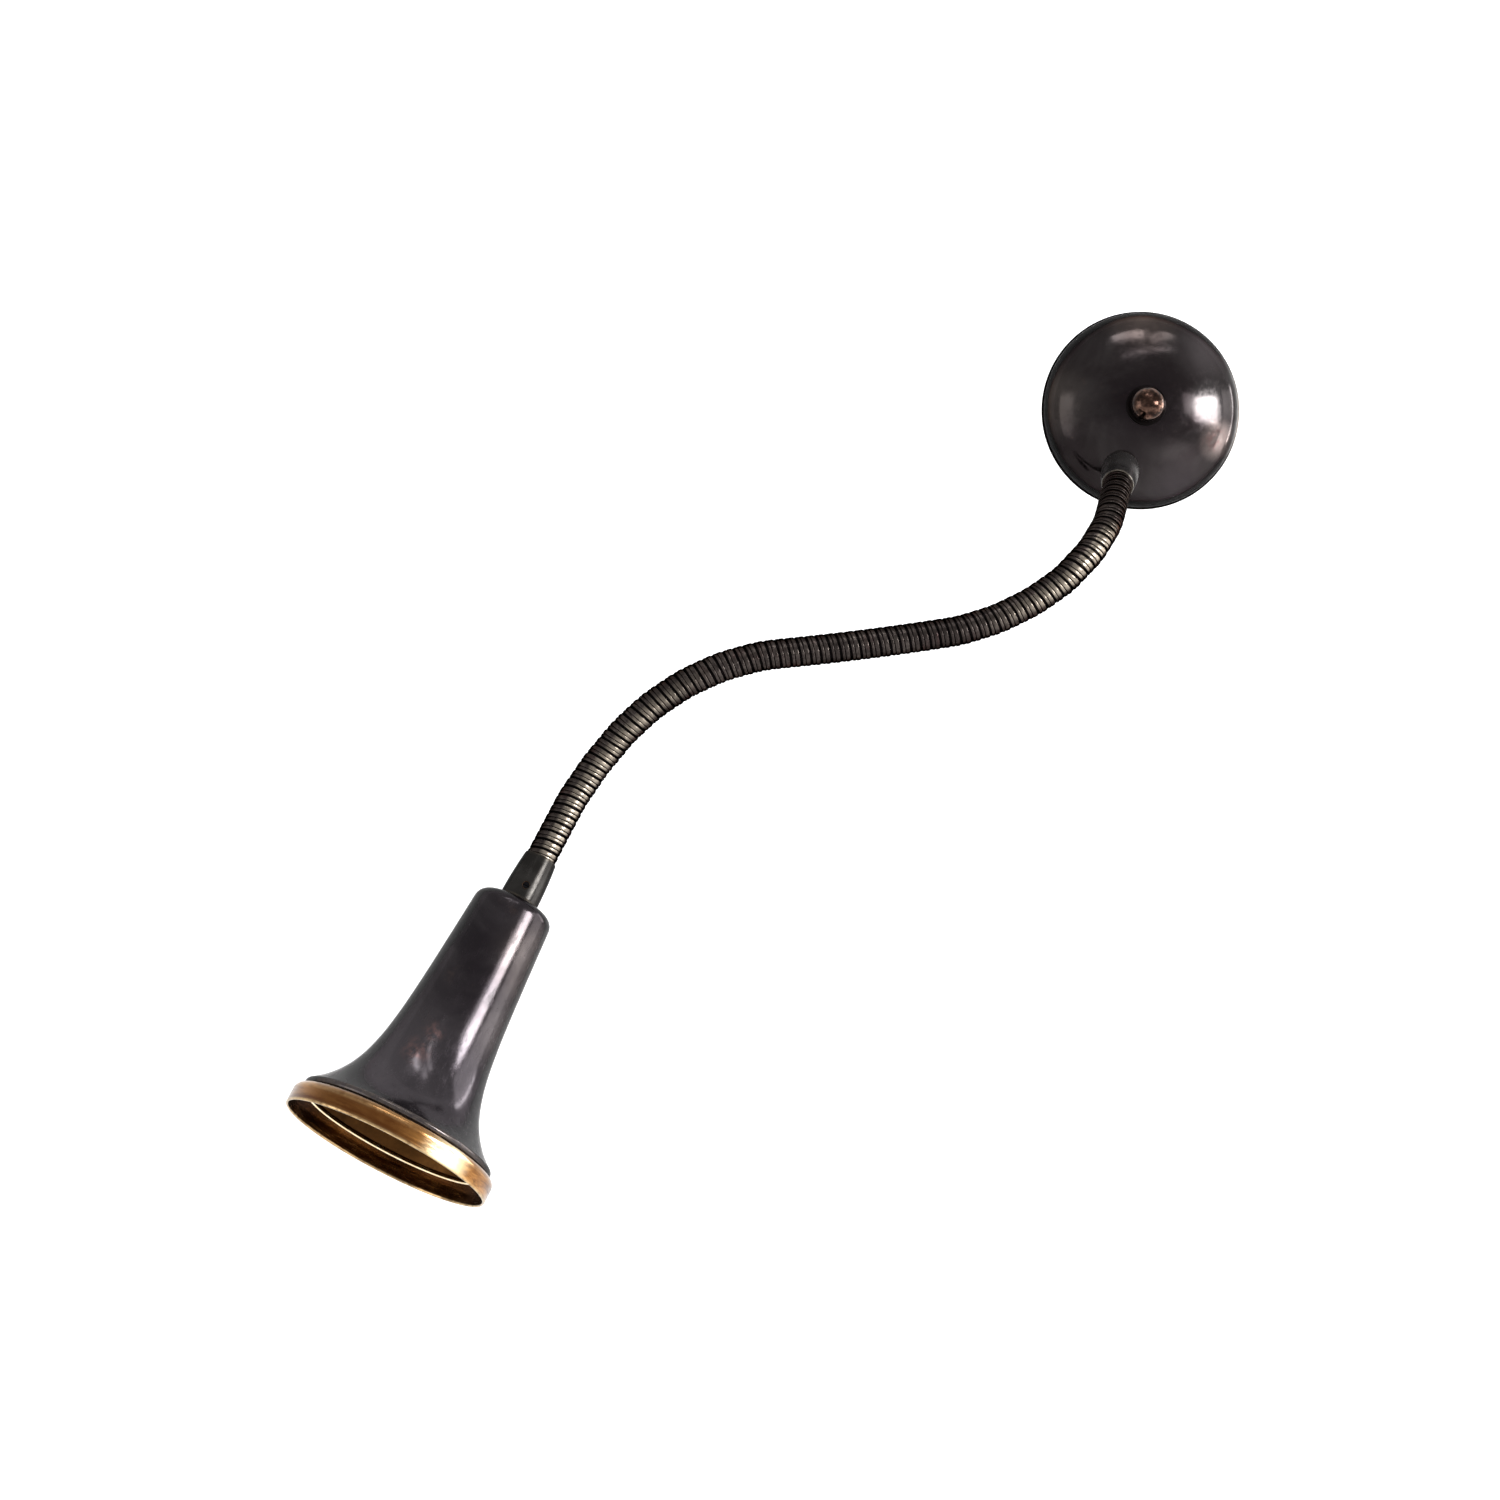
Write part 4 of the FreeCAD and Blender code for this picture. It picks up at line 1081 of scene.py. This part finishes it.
@dataclass
class Gooseneck:
    """The wound arm: a convex band on a round core wire, with the flex inside."""

    pitch: float = 4.45
    half_link: float = 4.45
    link_turns: int = 2
    tucked: int = 1
    shade_turns: int = 7
    flex_radius: float = 2.4
    flex_sides: int = 20
    highlight_facing: Point = (0.42, -0.90, 0.05)
    resolution: int = 16
    spare: float = 12.0
    weld: float = 0.001
    crease: float = 60.0
    strands: tuple[Section, ...] = (
        Section(1.85, 1.7, 5.90, 0.34, 0.000, 18, 44, 1.0),
        Section(1.30, 1.7, 5.82, 0.34, 0.405, 14, 44, 0.99),
        Section(4.50, 1.1, 5.86, 0.30, 0.500, 10, 36, 0.0),
    )

    def __post_init__(self) -> None:
        """Reads the hinges and lays the path."""
        self.joints = frame["joints"]
        self.pivots = [Vector(joint["pos_m"]) for joint in self.joints]
        socket = next(m for m in frame["record"]["mounts"] if m["name"] == "lamp_socket")
        self.shade_way = Vector(socket["axis"]).normalized()
        self.way_in = Canopy().seat.to_3x3() @ Vector((1, 0, 0))
        self.path = self.lay_path()

    def middles(self) -> list[Vector]:
        """The middles of the links, from the canopy ferrule's end to half a link past the last hinge."""
        half = self.half_link * MM
        inner = [(a + b) / 2 for a, b in zip(self.pivots, self.pivots[1:])]
        return [self.pivots[0] - self.way_in * half, *inner, self.pivots[-1] + self.shade_way * half]

    def lay_path(self) -> Piece:
        """Lays one smooth curve that is straight in both ferrules and tangent to every link's middle.

        Returns:
            The curve, which isn't shown.
        """
        middles = self.middles()
        start = middles[0] - self.way_in * self.spare * MM
        end = self.pivots[-1] + self.shade_way * (self.shade_turns * self.pitch + self.spare) * MM
        knots = [start, *middles, end]
        bends = [(start + middles[0]) / 2, *self.pivots, (middles[-1] + end) / 2]
        data = bpy.data.curves.new("arm_path", "CURVE")
        data.dimensions = "3D"
        data.resolution_u = self.resolution
        points = data.splines.new("BEZIER").bezier_points
        points.add(len(knots) - 1)
        for knot, point in zip(knots, points):
            point.handle_left_type = point.handle_right_type = "FREE"
            point.co = point.handle_left = point.handle_right = knot
        self.marks = [0.0]
        for first, second, bend in zip(points, points[1:], bends):
            # Two thirds of the way to the bend makes the piece a plain parabola with its corner there.
            first.handle_right = first.co.lerp(bend, 2 / 3)
            second.handle_left = second.co.lerp(bend, 2 / 3)
            corners = (first.co, first.handle_right, second.handle_left, second.co)
            dots = interpolate_bezier(*corners, self.resolution + 1)
            self.marks.append(self.marks[-1] + sum((b - a).length for a, b in zip(dots, dots[1:])))
        path = placed("arm_path", data)
        path.hide_render = True
        return path

    def winding_tree(self) -> bpy.types.NodeTree:
        """Builds the tree that winds one strand round the path, closed to a point at both ends.

        Returns:
            The tree.
        """
        tree = PathTree("winding", "Start", "Pitch", "Turns", "Steps", "Points", "Radius", "Width", "Height",
                        "Square", "Shift", "Crest")
        given = tree.given
        total = tree.math("ROUND", tree.times(given["Turns"], given["Steps"]))
        # One row more at each end is drawn in to the strand's middle, which closes it.
        rows, columns = tree.math("ADD", total, 3.0), tree.math("ADD", given["Points"], 1.0)
        grid = tree.add("GeometryNodeMeshGrid",
                        {"Size X": 1.0, "Size Y": 1.0, "Vertices X": rows, "Vertices Y": columns})
        where = tree.add("GeometryNodeInputPosition").outputs[0]
        spot = tree.add("ShaderNodeSeparateXYZ", {0: where}).outputs
        row = tree.times(tree.math("ADD", spot["X"], 0.5), tree.math("ADD", total, 2.0))
        highlight_side_span = tree.math("MINIMUM", tree.math("MAXIMUM", tree.math("SUBTRACT", row, 1.0), 0.0), total)
        after_start = tree.math("GREATER_THAN", row, 0.5)
        opened = tree.times(after_start, tree.math("LESS_THAN", row, tree.math("ADD", total, 1.5)))
        turn = tree.math("DIVIDE", highlight_side_span, given["Steps"])
        angle = tree.times(tree.math("ADD", spot["Y"], 0.5), math.tau)
        offsets = []
        for operation, size in (("COSINE", "Width"), ("SINE", "Height")):
            wave = tree.math(operation, angle)
            bulge = tree.math("POWER", tree.math("ABSOLUTE", wave), given["Square"])
            half = tree.times(tree.times(given[size], 0.5), opened)
            offsets.append(tree.times(tree.times(tree.math("SIGN", wave), bulge), half))
        shifted = tree.math("ADD", turn, given["Shift"])
        middle = tree.math("MULTIPLY_ADD", shifted, given["Pitch"], given["Start"])
        length = tree.math("ADD", middle, offsets[0])
        sample = tree.add("GeometryNodeSampleCurve", {"Curves": tree.line, "Length": length}, mode="LENGTH",
                          use_all_curves=True).outputs
        side = tree.vector("CROSS_PRODUCT", sample["Tangent"], sample["Normal"])
        phase = tree.times(turn, math.tau)
        out = tree.vector("ADD", tree.scaled(sample["Normal"], tree.math("COSINE", phase)),
                          tree.scaled(side, tree.math("SINE", phase)))
        reach = tree.math("ADD", given["Radius"], offsets[1])
        place = tree.vector("ADD", sample["Position"], tree.scaled(out, reach))
        share = tree.math("DIVIDE", offsets[1], tree.times(given["Height"], 0.5))
        crest = tree.times(tree.math("MAXIMUM", share, 0.0), given["Crest"])
        # How far each point faces the key light, which places the painted highlight on the crests.
        facing = tree.vector("DOT_PRODUCT", out, self.highlight_facing)
        noted = grid
        for name, value in (("crest", crest), ("travel", length), ("side", facing)):
            noted = tree.add("GeometryNodeStoreNamedAttribute",
                             {"Geometry": noted.outputs[0], "Name": name, "Value": value},
                             data_type="FLOAT", domain="POINT")
        moved = tree.add("GeometryNodeSetPosition", {"Geometry": noted.outputs[0], "Position": place})
        merged = tree.add("GeometryNodeMergeByDistance",
                          {"Geometry": moved.outputs[0], "Distance": self.weld * MM})
        return tree.ended(merged.outputs[0])

    def flex_tree(self) -> bpy.types.NodeTree:
        """Builds the tree that makes a length of flex along the path.

        Returns:
            The tree.
        """
        tree = PathTree("flex_length", "Start", "End", "Radius")
        cut = tree.add("GeometryNodeTrimCurve", {"Curve": tree.line}, mode="LENGTH")
        ends = [socket for socket in cut.inputs if socket.name in ("Start", "End") and socket.enabled]
        for socket in ends:
            tree.tree.links.new(tree.given[socket.name], socket)
        ring = tree.add("GeometryNodeCurvePrimitiveCircle",
                        {"Resolution": self.flex_sides, "Radius": tree.given["Radius"]})
        tube = tree.add("GeometryNodeCurveToMesh",
                        {"Curve": cut.outputs[0], "Profile Curve": ring.outputs[0], "Fill Caps": True})
        return tree.ended(tube.outputs[0])

    def grown(self, group: bpy.types.NodeTree, values: dict) -> Mesh:
        """Evaluates a tree with its inputs set.

        Args:
            group: The geometry tree.
            values: Input names and values.

        Returns:
            The plain mesh.
        """
        host = placed("host", bpy.data.meshes.new("host"))
        modifier = host.modifiers.new("tree", "NODES")
        modifier.node_group = group
        for item in group.interface.items_tree:
            if item.item_type == "SOCKET" and item.in_out == "INPUT":
                modifier[item.identifier] = values[item.name]
        mesh = baked(host)
        host.modifiers.clear()
        bpy.data.objects.remove(host)
        return mesh

    def strand(self, section: Section, start: float, pitch: float, turns: int) -> dict:
        """The winding tree's sizes for one strand over a stretch of the path.

        Args:
            section: The strand's section.
            start: Where it starts along the path, in metres.
            pitch: Metres to a turn.
            turns: How many turns.

        Returns:
            Input names and values.
        """
        return {"Start": start, "Pitch": pitch, "Turns": float(turns), "Steps": section.steps,
                "Points": section.points, "Radius": section.radius * MM, "Width": section.width * MM,
                "Height": section.height * MM, "Square": section.square, "Shift": section.shift,
                "Crest": section.crest}

    def piece(self, name: str, tree: bpy.types.NodeTree, material: Material, sizes: list[dict]) -> Piece:
        """Makes a piece of what a tree gives for each set of sizes.

        Args:
            name: The piece's name.
            tree: The geometry tree.
            material: The finish.
            sizes: The sets of sizes.

        Returns:
            The piece.
        """
        form = bmesh.new()
        for values in sizes:
            form.from_mesh(self.grown(tree, {"Path": self.path, "Material": material, **values}))
        whole = bpy.data.meshes.new(name)
        form.to_mesh(whole)
        form.free()
        return finished(name, whole, self.crease)

    def build(self, finishes: Finishes) -> None:
        """Builds the arm, a piece to each hinge, each standing in for the gooseneck nodes on both sides of
        it.

        Args:
            finishes: The materials.
        """
        winding, flex_length = self.winding_tree(), self.flex_tree()
        middles, last = self.middles(), len(self.joints) - 1
        for i, joint in enumerate(self.joints):
            begin, stop = self.marks[i + 1], self.marks[i + 2]
            pitch = (stop - begin) / self.link_turns
            before = self.tucked if i == 0 else 0
            after = self.shade_turns - 1 + self.tucked if i == last else 0
            turns = self.link_turns + before + after
            wound = [self.strand(section, begin - before * pitch, pitch, turns) for section in self.strands]
            sleeve = [{"Start": begin, "End": stop, "Radius": self.flex_radius * MM}]
            ends = (self.node_of(joint["parent"]), self.node_of(joint["child"]))
            lengths = ((f"gooseneck_winding_{i + 1:02d}", Slot.GOOSENECK, winding, wound, ends),
                       (f"flex_in_arm_{i + 1:02d}", Slot.FLEX, flex_length, sleeve, ("flex",)))
            for name, slot, tree, sizes, nodes in lengths:
                piece = self.piece(name, tree, finishes.by_slot[slot], sizes)
                finishes.dress(piece, slot, *nodes)
                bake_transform(piece)

    @staticmethod
    def node_of(body: str) -> str:
        """The gooseneck node in a body."""
        return {"canopy": "gooseneck_canopy_end", "shade": "gooseneck_shade_end"}.get(body, body)


def drawn_wire(name: str, points: list[Vector], radius: float) -> Piece:
    """Draws a smooth round wire near a few points.

    Args:
        name: The piece's name.
        points: The control points, in metres.
        radius: Its radius, in millimetres.

    Returns:
        The wire, as a closed mesh.
    """
    data = bpy.data.curves.new(name, "CURVE")
    data.dimensions = "3D"
    data.bevel_depth = radius * MM
    data.bevel_resolution = 5
    data.use_fill_caps = True
    spline = data.splines.new("NURBS")
    spline.points.add(len(points) - 1)
    for dot, point in zip(spline.points, points):
        dot.co = (*point, 1)
    spline.order_u = 3
    spline.use_endpoint_u = True
    spline.resolution_u = 12
    draft = placed(name + "_draft", data)
    mesh = baked(draft)
    bpy.data.objects.remove(draft)
    return finished(name, mesh, crease=60.0)


@dataclass
class Wiring:
    """The flex where it isn't in the gooseneck: behind the dome, and above the lampholder."""

    radius: float = 2.4
    core: float = 0.8
    sheath_start: Point = (-2.0, -7.5, 10.0)
    route: tuple[Point, ...] = ((-6.5, -7.5, 3.0), (-11.0, -7.8, -8.5), (-10.0, -8.5, -17.0))
    through_seat: Pair = (-12.0, 6.0)
    pole: float = 4.5
    pole_depth: float = 6.5
    core_heights: Pair = (14.5, 22.0)
    nipple_end: float = 9.8
    holder_cores: tuple[Pair, ...] = ((8.8, 1.0), (15.4, 5.2), (17.3, 5.2))

    def build(self, finishes: Finishes, seat: Matrix, arm: Gooseneck, cap: Matrix) -> None:
        """Builds both ends of the flex.

        Args:
            finishes: The materials.
            seat: Where the arm leaves the dome.
            arm: The gooseneck.
            cap: The shade cap's frame.
        """
        canopy = [Vector(p) * MM for p in (self.sheath_start, *self.route)]
        canopy += [along(seat, x).translation for x in self.through_seat]
        self.fit(finishes, "flex_in_canopy", [*canopy, arm.middles()[0]], self.radius, "canopy")
        start_x, start_y, start_z = self.sheath_start
        for side, name in ((-1, "left"), (1, "right")):
            x = side * self.pole
            core = [(start_x + side, start_y, start_z - 1)]
            core += [(x, -self.pole_depth, z) for z in self.core_heights]
            self.fit(finishes, f"canopy_core_{name}", [Vector(p) * MM for p in core], self.core, "canopy")
            ends = [cap @ (Vector((x, 0, side * z)) * MM) for x, z in self.holder_cores]
            self.fit(finishes, f"holder_core_{name}", ends, self.core, "shade")
        tail = [arm.middles()[-1], cap.translation, along(cap, self.nipple_end).translation]
        self.fit(finishes, "flex_in_shade", tail, self.radius, "shade")

    def fit(self, finishes: Finishes, name: str, points: list[Vector], radius: float, body: str) -> None:
        """Draws a length of flex or of core near some points, dresses it and fixes it to its body."""
        finishes.fix(body, (drawn_wire(name, points, radius), Slot.FLEX, None, ("flex",)))


@dataclass
class Shade:
    """The trumpet shade, its brass ring, and its ferrule."""

    length: float = 124.0
    wall: float = 0.9
    neck: float = 18.0
    neck_height: float = 118.0
    taper: float = 0.066
    flare: float = 16.3
    flare_height: float = 15.2
    flare_reach: float = 14.6
    flare_end: float = 13.0
    flat: float = 9.4
    cap_edge: float = 13.5
    cap_drop: float = 0.8
    cap_inset: float = 0.3
    bulge: tuple[float, float, float] = (0.42, 0.3, 0.27)
    inner_bulge: Pair = (0.75, 0.65)
    inner_end: float = 16.0
    hole: float = 5.15
    bead: float = 44.3
    bead_round: Pair = (0.2, 1.1)
    bead_inner: float = 41.0
    ring: float = 47.3
    ring_height: float = 9.9
    ring_band: float = 6.2
    ring_wall: float = 1.1
    ring_back: float = 45.0
    ring_bulge: Pair = (0.6, 0.55)
    ledge: float = 40.5
    ledge_height: float = 7.8
    ledge_bead: float = 0.7
    lip: float = 0.45
    thread: float = 5.05
    nipple_seat: float = 9.1
    screw_height: float = 6.5
    screw_bore: float = 1.55
    screw_sink: float = 0.25
    screw_flare: float = 0.3
    drill_spare: float = 2.0
    side_steps: int = 70
    side_crowding: float = 1.5
    marks: tuple[Point, ...] = ((83.0, 17.6, 9.0), (72.0, 11.6, 6.3))
    ferrule: Ferrule = field(default_factory=Ferrule)

    def facing(self, cap: Matrix, x: float, radius: float, turn: float) -> Point:
        """A place on the shade's side, in the shade's own axes.

        Args:
            cap: The cap's frame.
            x: Its distance from the cap.
            radius: Its distance from the axis.
            turn: How far round it is from the side that faces away from the wall, in degrees.

        Returns:
            The place.
        """
        out = cap.to_3x3().inverted() @ Vector((0, -1, 0))
        angle = math.atan2(out.z, out.y) + math.radians(turn)
        return x, radius * math.cos(angle), radius * math.sin(angle)

    def worn(self, cap: Matrix) -> tuple[Mark, ...]:
        """The reddish worn places on the side that faces away from the wall."""
        return tuple(Mark(self.facing(cap, x, self.profile(self.length - x, 0)[1], turn), reach)
                     for x, turn, reach in self.marks)

    def body_tones(self, cap: Matrix) -> tuple[Tone, ...]:
        """Where the shell is painted lighter, as painted reflections: towards its mouth, and on the side
        turned towards the lights.
        """
        return (Tone((self.length, 0, 0), 84.0, (0.068, 0.060, 0.067)),
                Tone(self.facing(cap, 24.0, 21.0, -70.0), 28.0, (0.100, 0.084, 0.080), 0.8),
                Tone(self.facing(cap, 58.0, 23.0, -75.0), 26.0, (0.075, 0.065, 0.065), 0.8))

    def ring_tones(self, cap: Matrix) -> tuple[Tone, ...]:
        """Where the ring is browner, and a brighter patch under the lights that is a painted highlight."""
        x = self.length - self.ring_band / 2
        return (Tone(self.facing(cap, x, self.ring, 38.0), 26.0, (0.080, 0.028, 0.008), 0.85),
                Tone(self.facing(cap, x, self.ring, 4.0), 28.0, (0.085, 0.028, 0.007), 0.9),
                Tone(self.facing(cap, x, self.ring, -32.0), 16.0, (0.92, 0.78, 0.50)))

    def profile(self, height: float, inset: float) -> Pair:
        """A point of the shade's side.

        Args:
            height: Its height above the mouth.
            inset: How far inside the outer surface.

        Returns:
            Its place along the axis from the cap, and its radius.
        """
        swell = self.flare * math.exp((self.flare_height - height) / self.flare_reach)
        radius = self.neck + self.taper * (self.neck_height - height) + swell
        slope = self.taper + swell / self.flare_reach
        size = math.hypot(1, slope)
        return self.length - height + inset * slope / size, radius - inset / size

    def side(self, first: float, last: float, inset: float) -> list[Pair]:
        """Points along the shade's side between two heights, close-set towards the last."""
        parts = [1 - (1 - i / self.side_steps) ** self.side_crowding for i in range(1, self.side_steps + 1)]
        return [self.profile(first + (last - first) * part, inset) for part in parts]

    def body(self, cap: Matrix) -> Piece:
        """Builds the spun shell, from the hole in its cap down the outside and back up the inside.

        Args:
            cap: The cap's frame.

        Returns:
            The shell.
        """
        top, wall, drop, corner = self.neck_height, self.wall, self.cap_drop, self.cap_edge
        x, r = self.profile(top, 0)
        fall, share, inwards = self.bulge
        bulge = (x * fall + drop * share, r - (r - corner) * inwards)
        line = Outline(0, self.hole, 1).deeper(0).line((0, self.flat), (drop, corner)).arc(bulge, (x, r))
        line.through(self.side(top, self.flare_end, 0))
        edge, seat = line.points[-1][0], self.length - self.ring_height
        lower, back = self.bead_round
        line.arc(((seat + edge) / 2 + lower, self.bead), (seat, self.bead - back)).deeper(1)
        line.line((seat, self.bead_inner), self.profile(self.inner_end, wall))
        line.through(self.side(self.inner_end, top, wall))
        inner = (bulge[0] + wall * self.inner_bulge[0], bulge[1] - wall * self.inner_bulge[1])
        line.arc(inner, (drop + wall, corner - self.cap_inset))
        line.line((wall, self.flat - self.cap_inset), (wall, self.hole))
        return turned("shade_shell", line, cap, sides=192, rub=0.45)

    def brass_ring(self, cap: Matrix) -> Piece:
        """Builds the ring with its ledge.

        Args:
            cap: The cap's frame.

        Returns:
            The ring.
        """
        mouth, back, ring = self.length, self.length - self.ring_height, self.ring
        band, ledge = mouth - self.ring_band, mouth - self.ledge_height
        inner, tip = ring - self.ring_wall, mouth - self.lip
        edge, bead = self.ledge, self.ledge_bead
        line = Outline(back, edge + 2 * bead, 1).line((back, self.ring_back)).deeper(0)
        up, out = self.ring_bulge
        line.arc(((back + band) / 2 - up, (ring + self.ring_back) / 2 + out), (band, ring))
        line.line((tip, ring)).deeper(0.8).arc((mouth, ring - self.ring_wall / 2), (tip, inner))
        line.deeper(0.6).line((ledge, inner), (ledge, edge + 2 * bead)).deeper(-1)
        line.arc((ledge + bead * 0.4, edge + bead), (ledge - bead * 0.4, edge))
        line.arc((ledge - bead, edge + bead * 0.2), (ledge - 2 * bead, edge + bead))
        return turned("shade_ring_brass", line, cap, sides=192)

    def arm_ferrule(self, cap: Matrix) -> Piece:
        """Builds the ferrule on the cap, drilled where its set screw lies.

        Args:
            cap: The cap's frame.

        Returns:
            The ferrule.
        """
        ferrule, seat, depth = self.ferrule, self.nipple_seat, self.thread - 1
        line = Outline(0, self.thread, 1).line((0, ferrule.base - ferrule.base_edge)).deeper(0)
        line.line((2 * ferrule.base_edge, ferrule.base))
        ferrule.outline(line).line((seat, ferrule.channel), (seat, self.thread))
        place = cap @ Matrix.Rotation(math.pi, 4, "Z")
        sleeve = turned("shade_ferrule_sleeve", line, place, ferrule.sides, ferrule.rub)
        level = along(place, self.screw_height)
        out = level.to_3x3() @ Vector(self.facing(place, 0.0, 1.0, 0.0))
        surface, bore, sink = ferrule.radius(self.screw_height), self.screw_bore, self.screw_sink
        flare, end = self.screw_flare, surface + self.drill_spare
        wide = bore + sink + flare
        drill = Outline(depth, 0, 1).line((depth, bore), (surface - sink, bore))
        drill.line((surface + flare, wide), (end, wide), (end, 0))
        return drilled(sleeve, turned("screw_hole", drill, aimed(level.translation, out), sides=32))

    def build(self, finishes: Finishes, cap: Matrix) -> None:
        """Builds and dresses the shade.

        Args:
            finishes: The materials.
            cap: The cap's frame.
        """
        shell = replace(HANDLED, marks=self.worn(cap), tones=self.body_tones(cap))
        brim = replace(BRIM, tones=self.ring_tones(cap))
        finishes.fix("shade",
                     (self.body(cap), Slot.BLACKENED, shell, ("shade_cap", "shade_body")),
                     (self.brass_ring(cap), Slot.RING, brim, ("shade_ring",)),
                     (self.arm_ferrule(cap), Slot.BLACKENED, SATIN, ("shade_ferrule",)))
        finishes.dress_nodes(Slot.STEEL, "ferrule_set_screw", own=BLUED)
        finishes.dress_nodes(Slot.STEEL, "holder_nipple", "holder_lock_nut")
        finishes.dress_nodes(Slot.HOLDER, "lampholder_cap", "lampholder_shell", "lampholder_contacts")
        finishes.dress_nodes(Slot.PORCELAIN, "lampholder_insulator", "lampholder_sleeve")


# Studio


@dataclass(frozen=True)
class Panel:
    """A soft light: where it is, how large, and how bright."""

    name: str
    place: Point
    size: Pair
    power: float


@dataclass
class Studio:
    """The camera, the lights, the pale world and the floor."""

    eye: Point = (-0.1807, -1.850, -0.1571)
    sight: Point = (-0.1807, 0.0, -0.1571)
    lens: float = 95.9
    view_end: float = 20.0
    floor_level: float = -0.62
    back: float = 1.3
    sweep: float = 0.6
    sweep_steps: int = 24
    reach: float = 9.0
    paper: tuple[Colour, Colour] = ((0.80, 0.80, 0.80), (0.83, 0.83, 0.83))
    fibres: Grain = Grain(3, 3, 0.55)
    glow: Pair = (0.60, 1.0)
    fade: Pair = (1.3, 2.6)
    dim: float = 0.38
    panels: tuple[Panel, ...] = (
        Panel("window", (1.20, -0.97, 0.07), (0.52, 0.44), 30.0),
        Panel("pane", (0.86, -1.16, 0.17), (0.15, 0.34), 1.6),
        Panel("side", (1.45, -0.10, -0.15), (0.90, 1.1), 11.0),
        Panel("edge", (1.50, 0.50, 0.02), (0.16, 0.9), 9.0),
        Panel("fill", (-1.45, -0.75, -0.05), (0.8, 0.9), 4.7),
        Panel("low", (0.55, -0.80, -0.48), (0.5, 0.3), 0.5),
        Panel("top_left", (-0.125, -0.72, 1.22), (0.50, 0.17), 2.6),
        Panel("top_right", (0.40, -0.72, 1.22), (0.40, 0.17), 1.2),
        Panel("top_low", (0.15, -0.98, 1.02), (0.84, 0.06), 1.7),
    )

    def aim(self, name: str, data: bpy.types.ID, place: Point) -> Piece:
        """Puts a camera or a light in its place, aimed at the middle of the lamp.

        Args:
            name: Its name.
            data: The camera or the light.
            place: The place, in metres.

        Returns:
            The object.
        """
        thing = placed(name, data)
        thing.location = place
        thing.rotation_euler = (Vector(self.sight) - Vector(place)).to_track_quat("-Z", "Y").to_euler()
        return thing

    def camera(self) -> None:
        """Makes the scene's camera."""
        data = bpy.data.cameras.new("camera")
        data.lens = self.lens
        data.clip_end = self.view_end
        bpy.context.scene.camera = self.aim("camera", data, self.eye)

    def lights(self) -> None:
        """Hangs the soft lights."""
        for panel in self.panels:
            data = bpy.data.lights.new(panel.name, "AREA")
            data.shape = "RECTANGLE"
            data.size, data.size_y = panel.size
            data.energy = panel.power
            self.aim(panel.name, data, panel.place)

    def world(self) -> None:
        """Makes a pale world that is white to the eye and in reflections, and dimmer as a light."""
        world = bpy.data.worlds.new("pale")
        world.use_nodes = True
        bpy.context.scene.world = world
        tree = Tree(world.node_tree)
        strength = tree.math("MULTIPLY_ADD", tree.seen(), 1.0 - self.dim, self.dim)
        sky = tree.add("ShaderNodeBackground", {"Color": WHITE, "Strength": strength})
        tree.add("ShaderNodeOutputWorld", {"Surface": sky.outputs[0]})

    def backdrop(self) -> None:
        """Lays a pale floor that sweeps up into a backdrop, takes the shadow, and is whiter further off."""
        turns = [math.pi / 2 * i / self.sweep_steps for i in range(self.sweep_steps + 1)]
        side, low = self.sweep, self.floor_level
        line = [(-self.reach, low)]
        line += [(self.back - side + side * math.sin(a), low + side - side * math.cos(a)) for a in turns]
        line.append((self.back, self.reach))
        verts = [(x, y, z) for y, z in line for x in (-self.reach, self.reach)]
        faces = [(2 * i, 2 * i + 1, 2 * i + 3, 2 * i + 2) for i in range(len(line) - 1)]
        mesh = bpy.data.meshes.new("backdrop")
        mesh.from_pydata(verts, [], faces)
        mesh.shade_smooth()
        sheet = placed("backdrop", mesh)
        tree = Shader("backdrop_paper")
        apart = tree.vector("DISTANCE", tree.place, self.sight)
        glow = tree.ramp(apart, (self.fade[0], self.glow[0]), (self.fade[1], self.glow[1]))
        mesh.materials.append(tree.finish({
            "Base Color": tree.mix(tree.noise(self.fibres), *self.paper), "Roughness": 0.85,
            "Specular IOR Level": 0.2, "Emission Color": WHITE,
            "Emission Strength": tree.times(tree.seen(), glow)}))

    def build(self) -> None:
        """Sets up the studio."""
        bpy.context.scene.view_settings.view_transform = "Standard"
        self.camera()
        self.lights()
        self.world()
        self.backdrop()
        log.info("set up the studio")


def corners(box: tuple[Vector, Vector]) -> list[list[float]]:
    """A box's lowest and highest corners as plain lists."""
    return [[float(value) for value in corner] for corner in box]


def main() -> None:
    """Builds the studio and the lamp."""
    logging.basicConfig(level=logging.INFO, format="%(name)s: %(message)s")
    Studio().build()
    finishes = Finishes()
    canopy, shade = Canopy(), Shade()
    canopy.build(finishes)
    arm = Gooseneck()
    arm.build(finishes)
    reach = arm.shade_turns * arm.pitch + shade.ferrule.length
    cap = aimed(arm.pivots[-1] + arm.shade_way * reach * MM, arm.shade_way)
    shade.build(finishes, cap)
    Wiring().build(finishes, canopy.seat, arm, cap)
    bpy.data.objects.remove(arm.path)


if __name__ == "__main__":
    main()
